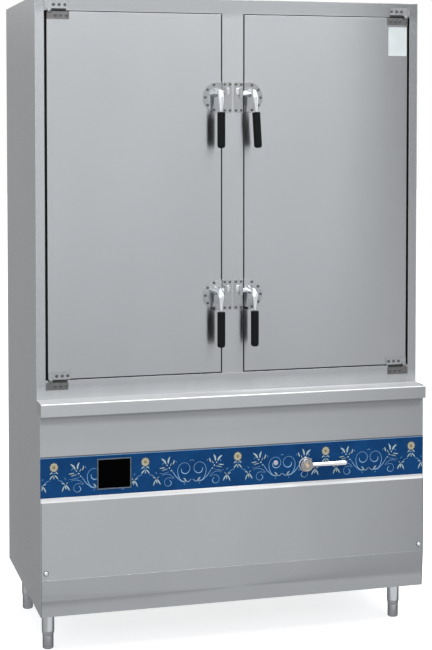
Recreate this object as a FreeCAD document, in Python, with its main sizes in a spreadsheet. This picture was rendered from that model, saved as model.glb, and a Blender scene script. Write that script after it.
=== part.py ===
"""Rice steamer cabinet: a double-door, free-standing steam cabinet on four legs.

Millimetres. X runs across the cabinet, +X to the right as one faces it, Y runs from the
front (-Y) to the back (+Y), and Z is up with the floor at 0. The origin is on the floor,
under the middle of the cabinet's outline.
"""
import FreeCAD, Part
import Sketcher
import os
import re

from FreeCAD import Placement, Rotation, Vector

# Driving sizes, one named value each
SIZES = {
    # outer cabinet
    "cabinet_width": 1200, "upper_depth": 590, "sheet_gauge": 1.5, "liner_gauge": 1.2,
    "plinth_step": 60, "access_step": 6, "lip_reach": 20, "stub_reach": 40,
    "leg_clearance": 136, "skirt_height": 110, "skirt_taper": 8, "access_height": 228,
    "bevel_height": 13, "strip_height": 118, "fascia_height": 123, "lip_height": 38,
    "sill_height": 55, "opening_height": 1086, "head_height": 43,
    # front frame, door seat and steam chamber
    "stile_width": 27, "mullion_width": 66, "seat_depth": 22, "seat_reach": 24,
    "seal_width": 21, "seal_gauge": 8, "seal_gap": 1, "back_wall": 51,
    # doors
    "hinge_gap": 8, "free_gap": 2.5, "door_depth": 25, "plug_depth": 26, "plug_clearance": 7,
    # corner pivot hinges
    "leaf_length": 66, "leaf_height": 22, "leaf_gauge": 3, "frame_leaf_lift": 6,
    "frame_leaf_inset": 1.5, "pin_inset": 7, "pin_forward": 7, "pin_radius": 3.5,
    "pin_clearance": 0.1, "ear_radius": 7, "ear_gauge": 3, "pin_collar_radius": 6,
    "collar_play": 0.3,
    # latches
    "upper_flange_level": 1656, "lower_flange_level": 1059, "flange_inset": 12,
    "flange_radius": 46, "flange_gauge": 3, "boss_radius": 29, "boss_height": 2.5,
    "spindle_inset": 17, "spindle_rise": 14, "spindle_radius": 5, "hub_radius": 13,
    "hub_length": 12, "hub_clearance": 0.3, "neck_radius": 9.8,
    "neck_bend": 14, "neck_tip_radius": 3.8, "grip_standoff": 58, "grip_drop": 59,
    "grip_radius": 12, "grip_length": 107, "grip_round": 8, "grip_edge": 2,
    "grip_socket": 12, "upper_right_tilt": 3.4, "nose_reach": 23, "nose_height": 13,
    "nose_gauge": 6, "strike_width": 27.5, "strike_height": 92, "strike_gauge": 2.5,
    "strike_inset": 1.5, "keeper_gap": 1.5, "keeper_width": 8, "keeper_height": 30,
    "keeper_depth": 11,
    # control strip
    "strip_gauge": 1.5, "display_offset": 381, "display_level": 549, "display_width": 102,
    "display_height": 91, "bezel_border": 3, "bezel_proud": 2, "glass_gauge": 3,
    "lamp_offset": 118, "lamp_level": 550, "lamp_radius": 7.5, "lamp_stem_radius": 5.5,
    "lamp_edge": 1.3, "lamp_crown_radius": 6, "lamp_crown": 3.2, "lamp_face_radius": 3,
    "lamp_proud": 4, "lamp_stem_length": 22,
    "lever_offset": 213.5, "lever_level": 540, "escutcheon_radius": 22,
    "escutcheon_height": 3, "shaft_radius": 5, "knob_radius": 20.5, "knob_height": 14,
    "knob_draft": 1.5, "knob_crown": 3, "knob_clearance": 0.3, "bar_rise": 6.6,
    "bar_radius": 6.2, "bar_tip_radius": 8.4, "bar_round": 8, "bar_length": 131.5,
    "switch_box": 52,
    "switch_depth": 38,
    # legs, feet and base
    "leg_inset": 43, "front_leg_setback": 74, "rear_leg_setback": 472,
    "leg_radius": 19, "leg_wall": 2, "leg_taper": 14, "foot_radius": 16.5, "foot_height": 40,
    "foot_stem_radius": 8, "foot_stem_length": 62, "foot_gap": 0.3, "foot_clearance": 0.1,
    "foot_chamfer": 3, "bush_length": 24, "base_tube": 40,
    "inner_rail_offset": 190,
    # drip ledge
    "rim_width": 7, "rim_roll": 3.5, "trough_depth": 5,
    # tray rack
    "post_size": 20, "post_inset": 40, "shelf_count": 5, "runner_width": 18,
    "runner_height": 12, "runner_gauge": 1.5,
    "first_shelf": 150, "shelf_pitch": 165, "shelf_gauge": 1.5, "shelf_fold": 16,
    "shelf_clearance": 3, "slot_count": 11, "slot_width": 14, "shelf_border": 30,
    # steam generator and services
    "boiler_offset": 250, "boiler_setback": 270, "boiler_radius": 150, "boiler_height": 300,
    "boiler_wall": 2, "coil_radius": 140, "coil_inner_radius": 45, "coil_gauge": 12,
    "carrier_radius": 150, "carrier_gauge": 8, "carrier_foot": 35, "carrier_foot_wall": 8,
    "riser_radius": 30, "riser_wall": 1.5, "spreader_radius": 105, "spreader_lift": 26,
    "spreader_holes": 12, "spreader_hole_radius": 7, "spreader_hole_circle": 72,
    "spreader_legs": 3, "spreader_leg_radius": 5, "spreader_leg_circle": 92,
    "spreader_leg_turn": 30,
    "inverter_offset": 280, "inverter_width": 360, "inverter_depth": 260,
    "inverter_height": 190, "inverter_setback": 200, "fan_size": 120, "fan_depth": 38,
    "fan_bore_radius": 56, "fan_tip_gap": 3, "fan_hub_radius": 21, "fan_boss_radius": 19,
    "fan_blades": 7, "fan_blade_gauge": 2, "fan_running_gap": 0.5, "fan_strut": 7,
    "fan_struts": 3, "axle_radius": 4, "axle_length": 22, "axle_clearance": 0.08,
    "root_pitch": 47, "tip_pitch": 27,
    "louvre_count": 9, "louvre_width": 150, "louvre_height": 8, "louvre_pitch": 20,
    "louvre_level": 220,
    "inlet_radius": 10.5, "inlet_bore_radius": 7.5, "inlet_level": 420, "inlet_shift": 60,
    "drain_radius": 13.5, "drain_bore_radius": 11, "drain_lift": 20, "drain_shift": 60,
    "pipe_nut_radius": 22, "pipe_nut_gauge": 8, "service_reach": 34, "hole_clearance": 0.3,
    "vent_radius": 25, "vent_wall": 1.5, "vent_drop": 120, "vent_flange_radius": 38,
    "vent_flange_gauge": 2,
    "gland_offset": 470, "gland_level": 250, "gland_radius": 13, "gland_bore_radius": 7,
    "gland_nut_radius": 18, "gland_nut_gauge": 9, "gland_snout": 10,
}

# Places worked out from the driving sizes
PLACES = {
    "half_width": "cabinet_width / 2",
    "front": "-(upper_depth + stub_reach - plinth_step - lip_reach) / 2",
    "back": "front + upper_depth",
    "fascia_front": "front - plinth_step",
    "access_front": "fascia_front - access_step",
    "lip_front": "fascia_front - lip_reach",
    "strip_front": "fascia_front - strip_gauge",
    "body_bottom": "leg_clearance",
    "skirt_top": "body_bottom + skirt_height",
    "access_top": "skirt_top + access_height",
    "strip_bottom": "access_top + bevel_height",
    "strip_top": "strip_bottom + strip_height",
    "lip_bottom": "strip_top + fascia_height",
    "ledge_top": "lip_bottom + lip_height",
    "opening_bottom": "ledge_top + sill_height",
    "opening_top": "opening_bottom + opening_height",
    "cabinet_top": "opening_top + head_height",
    "roof_under": "cabinet_top - sheet_gauge",
    "side_inner": "half_width - sheet_gauge",
    "back_inner": "back - sheet_gauge",
    "stile_inner": "half_width - stile_width",
    "mullion_half": "mullion_width / 2",
    "seat_front": "door_back + seal_gap + seal_gauge",
    "seat_back": "seat_front + seat_depth",
    "chamber_side": "stile_inner - seat_reach",
    "chamber_middle": "mullion_half + seat_reach",
    "chamber_bottom": "opening_bottom + seat_reach",
    "chamber_top": "opening_top - seat_reach",
    "chamber_back": "back - back_wall",
    "liner_side": "chamber_side + liner_gauge",
    "liner_back": "chamber_back + liner_gauge",
    "door_outer": "stile_inner - hinge_gap",
    "door_inner": "mullion_half + free_gap",
    "door_bottom": "opening_bottom + free_gap",
    "door_top": "opening_top - free_gap",
    "door_back": "front + door_depth",
    "plug_outer": "chamber_side - plug_clearance",
    "plug_inner": "chamber_middle + plug_clearance",
    "plug_bottom": "chamber_bottom + plug_clearance",
    "plug_top": "chamber_top - plug_clearance",
    "plug_back": "door_back + plug_depth",
    "pin_across": "door_outer - pin_inset",
    "pin_along": "front - pin_forward",
    "flange_across": "door_inner + flange_inset",
    "spindle_across": "door_inner + spindle_inset",
    "flange_face": "front - flange_gauge",
    "hub_base": "flange_face - boss_height - hub_clearance",
    "neck_standoff": "front - grip_standoff - hub_base",
    "knob_base": "strip_front - escutcheon_height - knob_clearance",
    "strike_face": "front - strike_gauge",
    "deck_top": "ledge_top",
    "floor_under": "body_bottom + base_tube",
    "floor_top": "floor_under + sheet_gauge",
    "left_leg": "-half_width + leg_inset",
    "right_leg": "half_width - leg_inset",
    "front_leg": "front + front_leg_setback",
    "rear_leg": "front + rear_leg_setback",
    "boiler_across": "-boiler_offset",
    "boiler_along": "front + boiler_setback",
    "coil_top": "floor_top + carrier_foot + carrier_gauge + coil_gauge",
    "boiler_top": "coil_top + boiler_height",
    "inlet_across": "boiler_across - inlet_shift",
    "drain_across": "boiler_across + drain_shift",
    "drain_level": "coil_top + drain_lift",
    "inverter_front": "front + inverter_setback",
    "inverter_back": "inverter_front + inverter_depth",
    "fan_level": "floor_top + inverter_height / 2",
    "vent_level": "chamber_top - vent_drop",
}

doc = FreeCAD.newDocument("rice_steamer_cabinet")
sheet = doc.addObject("Spreadsheet::Sheet", "Sizes")
for row, (alias, number) in enumerate(SIZES.items(), start=1):
    sheet.set(f"A{row}", alias)
    sheet.set(f"B{row}", str(number))
    sheet.setAlias(f"B{row}", alias)
doc.recompute()

NODES = {}
ALONG_X = Rotation(Vector(0, 1, 0), 90)
ALONG_Y = Rotation(Vector(1, 0, 0), -90)
ALONG_Z = Rotation()
TURNS = {"x": ALONG_X, "y": ALONG_Y, "z": ALONG_Z}


def formula(text):
    """Write a formula of named sizes and places as an expression on the sheet."""
    def expand(match):
        word = match.group(0)
        if word in PLACES:
            return "(" + formula(PLACES[word]) + ")"
        return "Sizes." + word if word in SIZES else word
    return re.sub(r"[a-z_]+", expand, str(text))


def value(text):
    """Read a formula of named sizes and places as a number, from the sheet."""
    return float(sheet.evalExpression(formula(text)))


def bind(thing, **formulas):
    for name, text in formulas.items():
        thing.setExpression(name, formula(text))
    return thing


def put(thing, across="0", along="0", up="0", turn=ALONG_Z):
    """Place a thing, with its base point bound to the sheet."""
    thing.Placement = Placement(Vector(), turn)
    for axis, text in zip("xyz", (across, along, up)):
        thing.setExpression("Placement.Base." + axis, formula(text))
    return thing


def node(name, thing):
    """Register a thing as the sub-part of this name."""
    thing.Label = name
    NODES[name] = thing
    return thing


def slab(across, along, up, name="slab"):
    """A box between two faces in each direction."""
    thing = doc.addObject("Part::Box", name)
    bind(thing, Length=f"({across[1]}) - ({across[0]})")
    bind(thing, Width=f"({along[1]}) - ({along[0]})")
    bind(thing, Height=f"({up[1]}) - ({up[0]})")
    return put(thing, across[0], along[0], up[0])


def rod(radius, length, across="0", along="0", up="0", axis="z", name="rod"):
    thing = doc.addObject("Part::Cylinder", name)
    bind(thing, Radius=radius, Height=length)
    return put(thing, across, along, up, TURNS[axis])


def cone(low_radius, high_radius, length, across="0", along="0", up="0", turn=ALONG_Z):
    thing = doc.addObject("Part::Cone", "cone")
    bind(thing, Radius1=low_radius, Radius2=high_radius, Height=length)
    return put(thing, across, along, up, turn)


def cut(base, *tools):
    for tool in tools:
        result = doc.addObject("Part::Cut", "cut")
        result.Base = base
        result.Tool = tool
        base = result
    return base


def fuse(*shapes):
    result = doc.addObject("Part::MultiFuse", "fuse")
    result.Shapes = list(shapes)
    return result


def group(*shapes):
    """Separate solids that share one node."""
    result = doc.addObject("Part::Compound", "group")
    result.Links = list(shapes)
    return result


def mirrored(low, high, side):
    """A span across the cabinet, given on the right, on the side asked for."""
    if side == "right":
        return (low, high)
    return (f"-({high})", f"-({low})")


def signed(text, side):
    return text if side == "right" else f"-({text})"


def tube(across, along, up, axis, wall="sheet_gauge"):
    """A rectangular tube whose bore runs along the axis."""
    spans = [across, along, up]
    hollow = [(f"({low}) + {wall}", f"({high}) - {wall}") for low, high in spans]
    hollow["xyz".index(axis)] = spans["xyz".index(axis)]
    return cut(slab(*spans), slab(*hollow))


PLANES = {"x": "YZ_Plane", "y": "XZ_Plane", "z": "XY_Plane"}


def new_sketch(body, axis):
    sketch = body.newObject("Sketcher::SketchObject", "outline")
    plane = [part for part in body.Origin.OriginFeatures if part.Role == PLANES[axis]][0]
    sketch.AttachmentSupport = [(plane, "")]
    sketch.MapMode = "FlatFace"
    return sketch


def fix_point(sketch, element, corner, point):
    """Hold one point of a sketch at two bound distances from its origin."""
    for kind, text in zip(("DistanceX", "DistanceY"), point):
        index = sketch.addConstraint(
            Sketcher.Constraint(kind, -1, 1, element, corner, value(text)))
        sketch.setExpression(f"Constraints[{index}]", formula(text))


def draw_outline(sketch, points):
    """A closed outline of straight edges through the points."""
    first = sketch.GeometryCount
    places = [Vector(value(u), value(v), 0) for u, v in points]
    for start, end in zip(places, places[1:] + places[:1]):
        sketch.addGeometry(Part.LineSegment(start, end), False)
    for index in range(len(points)):
        following = first + (index + 1) % len(points)
        sketch.addConstraint(
            Sketcher.Constraint("Coincident", first + index, 2, following, 1))
    for index, point in enumerate(points):
        fix_point(sketch, first + index, 1, point)


def draw_circle(sketch, centre, radius):
    where = Vector(value(centre[0]), value(centre[1]), 0)
    index = sketch.addGeometry(Part.Circle(where, Vector(0, 0, 1), value(radius)), False)
    fix_point(sketch, index, 3, centre)
    limit = sketch.addConstraint(Sketcher.Constraint("Radius", index, value(radius)))
    sketch.setExpression(f"Constraints[{limit}]", formula(radius))


def rectangle(low, high):
    return [(low[0], low[1]), (high[0], low[1]), (high[0], high[1]), (low[0], high[1])]


def plate(name, axis, span, outline, windows=(), holes=()):
    """A plate padded along an axis from a sketched outline, with windows and round holes.

    The outline is given in (Y, Z) along X, in (X, Z) along Y and in (X, Y) along Z.
    """
    body = doc.addObject("PartDesign::Body", name)
    sketch = new_sketch(body, axis)
    draw_outline(sketch, outline)
    for window in windows:
        draw_outline(sketch, window)
    for centre, radius in holes:
        draw_circle(sketch, centre, radius)
    pad = body.newObject("PartDesign::Pad", "pad")
    pad.Profile = sketch
    bind(pad, Length=f"({span[1]}) - ({span[0]})")
    sketch.Visibility = False
    seat = span[1] if axis == "y" else span[0]
    position = {"x": (seat, "0", "0"), "y": ("0", seat, "0"), "z": ("0", "0", seat)}
    return put(body, *position[axis])


def row_of_cuts(body, axis, outline, direction, count, reach):
    """Repeat one cut through the body's plate along an axis of its sketch."""
    sketch = new_sketch(body, axis)
    draw_outline(sketch, outline)
    pocket = body.newObject("PartDesign::Pocket", "pocket")
    pocket.Profile = sketch
    pocket.Type = "ThroughAll"
    pocket.Midplane = True
    sketch.Visibility = False
    doc.recompute()
    rows = body.newObject("PartDesign::LinearPattern", "row")
    rows.Originals = [pocket]
    rows.Direction = (sketch, [direction])
    bind(rows, Length=reach, Occurrences=count)
    body.Tip = rows


def round_rim(body, level, radius, size):
    """Round the circular edge of a turned body at a height and radius of its own."""
    doc.recompute()
    height, rim = value(level), value(radius)
    names = [
        f"Edge{index}"
        for index, edge in enumerate(body.Shape.Edges, start=1)
        if isinstance(edge.Curve, Part.Circle)
        and abs(edge.Curve.Center.z - height) < 0.001
        and abs(edge.Curve.Radius - rim) < 0.001
    ]
    base = body.Tip
    fillet = body.newObject("PartDesign::Fillet", "rounding")
    fillet.Base = (base, names)
    bind(fillet, Radius=size)


def turned(name, profile):
    """A body of revolution about its own Z axis, from a profile in (radius, height)."""
    body = doc.addObject("PartDesign::Body", name)
    sketch = new_sketch(body, "y")
    draw_outline(sketch, profile)
    spin = body.newObject("PartDesign::Revolution", "spin")
    spin.Profile = sketch
    spin.ReferenceAxis = (sketch, ["V_Axis"])
    spin.Angle = 360
    sketch.Visibility = False
    return body


# Outer casing
def side_panel(side):
    outline = [
        ("access_front + skirt_taper", "body_bottom"),
        ("access_front", "skirt_top"),
        ("access_front", "access_top"),
        ("strip_front", "strip_bottom"),
        ("fascia_front", "strip_bottom"),
        ("fascia_front", "lip_bottom"),
        ("front", "lip_bottom"),
        ("front", "cabinet_top"),
        ("back", "cabinet_top"),
        ("back", "body_bottom"),
    ]
    span = mirrored("side_inner", "half_width", side)
    node(side + "_side_panel", plate(side + "_side_panel", "x", span, outline))


def back_panel():
    outline = rectangle(("-side_inner", "body_bottom"), ("side_inner", "roof_under"))
    holes = [
        (("inlet_across", "inlet_level"), "inlet_radius + hole_clearance"),
        (("drain_across", "drain_level"), "drain_radius + hole_clearance"),
        (("0", "vent_level"), "vent_radius + hole_clearance"),
        (("gland_offset", "gland_level"), "gland_radius + hole_clearance"),
    ]
    body = plate("back_panel", "y", ("back_inner", "back"), outline, holes=holes)
    low = ("inverter_offset - louvre_width / 2", "louvre_level")
    high = ("inverter_offset + louvre_width / 2", "louvre_level + louvre_height")
    row_of_cuts(body, "y", rectangle(low, high), "V_Axis", "louvre_count",
                "louvre_pitch * (louvre_count - 1)")
    node("back_panel", body)


def top_panel():
    outline = rectangle(("-side_inner", "front"), ("side_inner", "back"))
    node("top_panel", plate("top_panel", "z", ("roof_under", "cabinet_top"), outline))


def front_frame():
    """Two stiles, head, sill and mullion, each a box-section member."""
    along = ("front", "seat_front")
    members = [
        tube(mirrored("stile_inner", "side_inner", side), along, ("ledge_top", "roof_under"), "z")
        for side in ("left", "right")
    ]
    across = ("-stile_inner", "stile_inner")
    members.append(tube(across, along, ("opening_top", "roof_under"), "x"))
    members.append(tube(across, along, ("ledge_top", "opening_bottom"), "x"))
    across = ("-mullion_half", "mullion_half")
    members.append(tube(across, along, ("opening_bottom", "opening_top"), "z"))
    node("front_frame", group(*members))


def seat_frame():
    """The rebate behind the front frame that the doors close against."""
    along = ("seat_front", "seat_back")
    members = [
        tube(mirrored("chamber_side", "side_inner", side), along, ("ledge_top", "roof_under"), "z")
        for side in ("left", "right")
    ]
    across = ("-chamber_side", "chamber_side")
    members.append(tube(across, along, ("chamber_top", "roof_under"), "x"))
    members.append(tube(across, along, ("ledge_top", "chamber_bottom"), "x"))
    across = ("-chamber_middle", "chamber_middle")
    members.append(tube(across, along, ("chamber_bottom", "chamber_top"), "z"))
    node("seat_frame", group(*members))


def door_seals():
    """Rubber strips round both door openings, on the seat frame."""
    along = ("door_back + seal_gap", "seat_front")
    strips = []
    for side in ("left", "right"):
        outer = mirrored("stile_inner - seal_width", "stile_inner", side)
        inner = mirrored("mullion_half", "mullion_half + seal_width", side)
        between = mirrored("mullion_half + seal_width", "stile_inner - seal_width", side)
        strips.append(slab(outer, along, ("opening_bottom", "opening_top")))
        strips.append(slab(inner, along, ("opening_bottom", "opening_top")))
        strips.append(slab(between, along, ("opening_bottom", "opening_bottom + seal_width")))
        strips.append(slab(between, along, ("opening_top - seal_width", "opening_top")))
    node("door_seals", group(*strips))


# Steam chamber
def riser_hole(low, high):
    return rod("riser_radius + hole_clearance", f"({high}) - ({low})", "boiler_across",
               "boiler_along", low)


def vent_hole(low, high):
    return rod("vent_radius + hole_clearance", f"({high}) - ({low})", "0", low, "vent_level",
               "y")


def chamber_liner():
    """Floor, walls and ceiling sheets of the steam chamber."""
    deep = ("seat_back", "chamber_back")
    sheets = [
        slab(mirrored("chamber_side", "liner_side", side), deep, ("chamber_bottom", "chamber_top"))
        for side in ("left", "right")
    ]
    across = ("-liner_side", "liner_side")
    rear = slab(across, ("chamber_back", "liner_back"), ("chamber_bottom", "chamber_top"))
    sheets.append(cut(rear, vent_hole("chamber_back", "liner_back")))
    deep = ("seat_back", "liner_back")
    sheets.append(slab(across, deep, ("chamber_top", "chamber_top + liner_gauge")))
    low = "chamber_bottom - liner_gauge"
    floor = slab(across, deep, (low, "chamber_bottom"))
    sheets.append(cut(floor, riser_hole(low, "chamber_bottom")))
    node("chamber_liner", group(*sheets))


def wall_insulation():
    tall = ("deck_top", "roof_under")
    slabs = [
        slab(mirrored("liner_side", "side_inner", side), ("seat_back", "back_inner"), tall)
        for side in ("left", "right")
    ]
    across = ("-liner_side", "liner_side")
    rear = slab(across, ("liner_back", "back_inner"), tall)
    slabs.append(cut(rear, vent_hole("liner_back", "back_inner")))
    deep = ("seat_back", "liner_back")
    slabs.append(slab(across, deep, ("chamber_top + liner_gauge", "roof_under")))
    high = "chamber_bottom - liner_gauge"
    under = slab(across, deep, ("deck_top", high))
    slabs.append(cut(under, riser_hole("deck_top", high)))
    node("wall_insulation", group(*slabs))


def chamber_deck():
    outline = rectangle(("-side_inner", "front"), ("side_inner", "back_inner"))
    hole = [(("boiler_across", "boiler_along"), "riser_radius + hole_clearance")]
    span = ("deck_top - sheet_gauge", "deck_top")
    node("chamber_deck", plate("chamber_deck", "z", span, outline, holes=hole))


def shelf_level(index):
    return f"chamber_bottom + first_shelf + shelf_pitch * {index}"


def tray_rack():
    """Six posts with a box-tube runner on each side of each bay at every level."""
    half = "post_size / 2"
    rows = ("seat_back + post_inset", "chamber_back - post_inset - post_size")
    tall = ("chamber_bottom", "chamber_top")
    pieces = []
    for row in rows:
        deep = (row, f"{row} + post_size")
        pieces.append(tube(("-chamber_side", "-chamber_side + post_size"), deep, tall, "z"))
        pieces.append(tube(("chamber_side - post_size", "chamber_side"), deep, tall, "z"))
        pieces.append(tube((f"-{half}", half), deep, tall, "z"))
    deep = (rows[0], f"{rows[1]} + post_size")
    outer = "chamber_side - post_size"
    spans = ((half, f"{half} + runner_width"), (f"{outer} - runner_width", outer))
    for index in range(int(value("shelf_count"))):
        up = (f"{shelf_level(index)} - runner_height", shelf_level(index))
        for side in ("left", "right"):
            for span in spans:
                pieces.append(tube(mirrored(*span, side), deep, up, "y", "runner_gauge"))
    node("tray_rack", group(*pieces))


def steamer_shelves():
    """Slotted pressed shelves that lie on the runners, five to a bay."""
    inner = "post_size / 2 + shelf_clearance"
    outer = "chamber_side - post_size - shelf_clearance"
    front_edge = "seat_back + post_inset"
    back_edge = "chamber_back - post_inset"
    blank = plate("shelf_blank", "z", ("0", "shelf_gauge"),
                  rectangle((inner, front_edge), (outer, back_edge)))
    start = f"({inner}) + shelf_border"
    slot = rectangle((start, f"{front_edge} + shelf_border"),
                     (f"{start} + slot_width", f"{back_edge} - shelf_border"))
    reach = f"({outer}) - ({inner}) - 2 * shelf_border - slot_width"
    row_of_cuts(blank, "z", slot, "H_Axis", "slot_count", reach)
    # hemmed front and back edges, turned down between the runners
    hem_low = "post_size / 2 + runner_width + shelf_clearance"
    hem_high = "chamber_side - post_size - runner_width - shelf_clearance"
    hem_spans = (
        (front_edge, f"{front_edge} + shelf_gauge"),
        (f"{back_edge} - shelf_gauge", back_edge),
    )
    hems = [slab((hem_low, hem_high), span, ("-shelf_fold", "0")) for span in hem_spans]
    shelf = fuse(blank, *hems)
    doc.recompute()
    pressed = shelf.Shape
    turned_over = pressed.mirror(Vector(), Vector(1, 0, 0))
    shelves = []
    for index in range(int(value("shelf_count"))):
        lift = Vector(0, 0, value(shelf_level(index)))
        shelves.append(pressed.translated(lift))
        shelves.append(turned_over.translated(lift))
    stack = doc.addObject("Part::Feature", "steamer_shelves")
    stack.Shape = Part.makeCompound(shelves)
    node("steamer_shelves", stack)


# Ledge, fascia and lower panels
def drip_trough():
    """The projecting ledge: a shallow gutter with a rolled rim and closed ends."""
    inner = "lip_front + rim_width"
    low = "ledge_top - trough_depth"
    rolled = [
        ("lip_front", "ledge_top - rim_roll"),
        ("lip_front + 0.134 * rim_roll", "ledge_top - rim_roll / 2"),
        ("lip_front + rim_roll / 2", "ledge_top - 0.134 * rim_roll"),
        ("lip_front + rim_roll", "ledge_top"),
    ]
    shoulder = "0.707 * (rim_roll - sheet_gauge)"
    profile = [
        ("lip_front", "lip_bottom"),
        *rolled,
        (inner, "ledge_top"),
        (inner, low),
        ("front", "ledge_top"),
        ("front", "ledge_top - sheet_gauge"),
        (inner + " - sheet_gauge", low + " - sheet_gauge"),
        (inner + " - sheet_gauge", "ledge_top - sheet_gauge"),
        ("lip_front + rim_roll", "ledge_top - sheet_gauge"),
        ("lip_front + rim_roll - " + shoulder, "ledge_top - rim_roll + " + shoulder),
        ("lip_front + sheet_gauge", "ledge_top - rim_roll"),
        ("lip_front + sheet_gauge", "lip_bottom + sheet_gauge"),
        ("fascia_front", "lip_bottom + sheet_gauge"),
        ("fascia_front", "lip_bottom"),
    ]
    gutter = plate("trough_gutter", "x", ("-side_inner", "side_inner"), profile)
    outline = [("lip_front", "lip_bottom"), *rolled, ("front", "ledge_top"),
               ("front", "lip_bottom")]
    ends = []
    for side in ("left", "right"):
        span = mirrored("side_inner", "half_width", side)
        ends.append(plate("trough_end", "x", span, outline))
    node("drip_trough", fuse(gutter, *ends))


def display_window(margin):
    low = (f"-display_offset - display_width / 2 + {margin}",
           f"display_level - display_height / 2 + {margin}")
    high = (f"-display_offset + display_width / 2 - {margin}",
            f"display_level + display_height / 2 - {margin}")
    return rectangle(low, high)


def control_holes():
    return [
        (("lamp_offset", "lamp_level"), "lamp_stem_radius + hole_clearance"),
        (("lever_offset", "lever_level"), "shaft_radius + hole_clearance"),
    ]


def fascia_panel():
    outline = rectangle(("-side_inner", "strip_bottom"), ("side_inner", "lip_bottom"))
    span = ("fascia_front", "fascia_front + sheet_gauge")
    body = plate("fascia_panel", "y", span, outline, [display_window("bezel_border")],
                 control_holes())
    node("fascia_panel", body)


def decor_strip():
    outline = rectangle(("-half_width", "strip_bottom"), ("half_width", "strip_top"))
    span = ("strip_front", "fascia_front")
    body = plate("decor_strip", "y", span, outline, [display_window("bezel_border")],
                 control_holes())
    node("decor_strip", body)


def touch_display():
    span = ("strip_front - bezel_proud", "strip_front")
    ring = plate("touch_bezel", "y", span, display_window("0"), [display_window("bezel_border")])
    node("touch_bezel", ring)
    span = ("strip_front - bezel_proud / 2", "strip_front - bezel_proud / 2 + glass_gauge")
    node("touch_glass", plate("touch_glass", "y", span, display_window("bezel_border")))


def indicator_lamp():
    """A domed lens on a stem that passes through the strip and the fascia."""
    profile = [
        ("0", "-lamp_stem_length"),
        ("lamp_stem_radius", "-lamp_stem_length"),
        ("lamp_stem_radius", "0"),
        ("lamp_radius", "0"),
        ("lamp_radius", "lamp_edge"),
        ("lamp_crown_radius", "lamp_crown"),
        ("lamp_face_radius", "lamp_proud"),
        ("0", "lamp_proud"),
    ]
    body = turned("indicator_lamp", profile)
    outward = Rotation(Vector(1, 0, 0), 90)
    node("indicator_lamp", put(body, "lamp_offset", "strip_front", "lamp_level", outward))


def lever_switch():
    """Escutcheon, shaft and switch body of the power control."""
    across, up = "lever_offset", "lever_level"
    face = "strip_front - escutcheon_height"
    disc = rod("escutcheon_radius", "escutcheon_height", across, face, up, "y")
    shaft_start = "knob_base - knob_height + knob_crown"
    inside = "fascia_front + sheet_gauge"
    shaft = rod("shaft_radius", f"{inside} - ({shaft_start})", across, shaft_start, up, "y")
    half = "switch_box / 2"
    box = slab((f"{across} - {half}", f"{across} + {half}"),
               (inside, f"{inside} + switch_depth"), (f"{up} - {half}", f"{up} + {half}"))
    node("lever_switch", fuse(disc, shaft, box))


def power_lever():
    """The knob on its shaft, with a round-ended bar that lies level when off."""
    profile = [
        ("0", "0"),
        ("knob_radius", "0"),
        ("knob_radius - knob_draft", "knob_height"),
        ("0", "knob_height"),
    ]
    knob = turned("knob", profile)
    round_rim(knob, "knob_height", "knob_radius - knob_draft", "knob_crown")
    outward = Rotation(Vector(1, 0, 0), 90)
    put(knob, "lever_offset", "knob_base", "lever_level", outward)
    middle = "knob_base - bar_rise"
    bar_profile = [
        ("0", "0"),
        ("bar_radius", "0"),
        ("bar_tip_radius", "bar_length"),
        ("0", "bar_length"),
    ]
    bar = turned("bar", bar_profile)
    round_rim(bar, "bar_length", "bar_tip_radius", "bar_round")
    put(bar, "lever_offset", middle, "lever_level", ALONG_X)
    bore = rod("shaft_radius + pin_clearance", "knob_height - knob_crown + pin_clearance",
               "lever_offset", "knob_base - knob_height + knob_crown - pin_clearance",
               "lever_level", "y")
    node("power_lever", cut(fuse(knob, bar), bore))


def access_panel():
    """Folded cover below the strip, its top edge sloped back to meet it."""
    profile = [
        ("access_front", "skirt_top"),
        ("access_front", "access_top"),
        ("strip_front", "strip_bottom"),
        ("strip_front + sheet_gauge", "strip_bottom"),
        ("access_front + sheet_gauge", "access_top"),
        ("access_front + sheet_gauge", "skirt_top"),
    ]
    node("access_panel", plate("access_panel", "x", ("-side_inner", "side_inner"), profile))


def skirt_panel():
    profile = [
        ("access_front + skirt_taper", "body_bottom"),
        ("access_front", "skirt_top"),
        ("access_front + sheet_gauge", "skirt_top"),
        ("access_front + skirt_taper + sheet_gauge", "body_bottom"),
    ]
    node("skirt_panel", plate("skirt_panel", "x", ("-side_inner", "side_inner"), profile))


# Base, legs and feet
def base_frame():
    """Box-tube frame under the machine space: two cross members and four rails."""
    half = "base_tube / 2"
    up = ("body_bottom", "floor_under")
    front_face = "access_front + skirt_taper + sheet_gauge"
    across = ("-side_inner", "side_inner")
    front_cross = (front_face, f"{front_face} + base_tube")
    back_cross = ("back_inner - base_tube", "back_inner")
    members = [tube(across, span, up, "x") for span in (front_cross, back_cross)]
    deep = (front_cross[1], back_cross[0])
    for middle in ("left_leg", "-inner_rail_offset", "inner_rail_offset", "right_leg"):
        members.append(tube((f"{middle} - {half}", f"{middle} + {half}"), deep, up, "y"))
    node("base_frame", group(*members))


def machine_floor():
    outline = rectangle(("-side_inner", "access_front + skirt_taper + sheet_gauge"),
                        ("side_inner", "back_inner"))
    node("machine_floor", plate("machine_floor", "z", ("floor_under", "floor_top"), outline))


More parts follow.
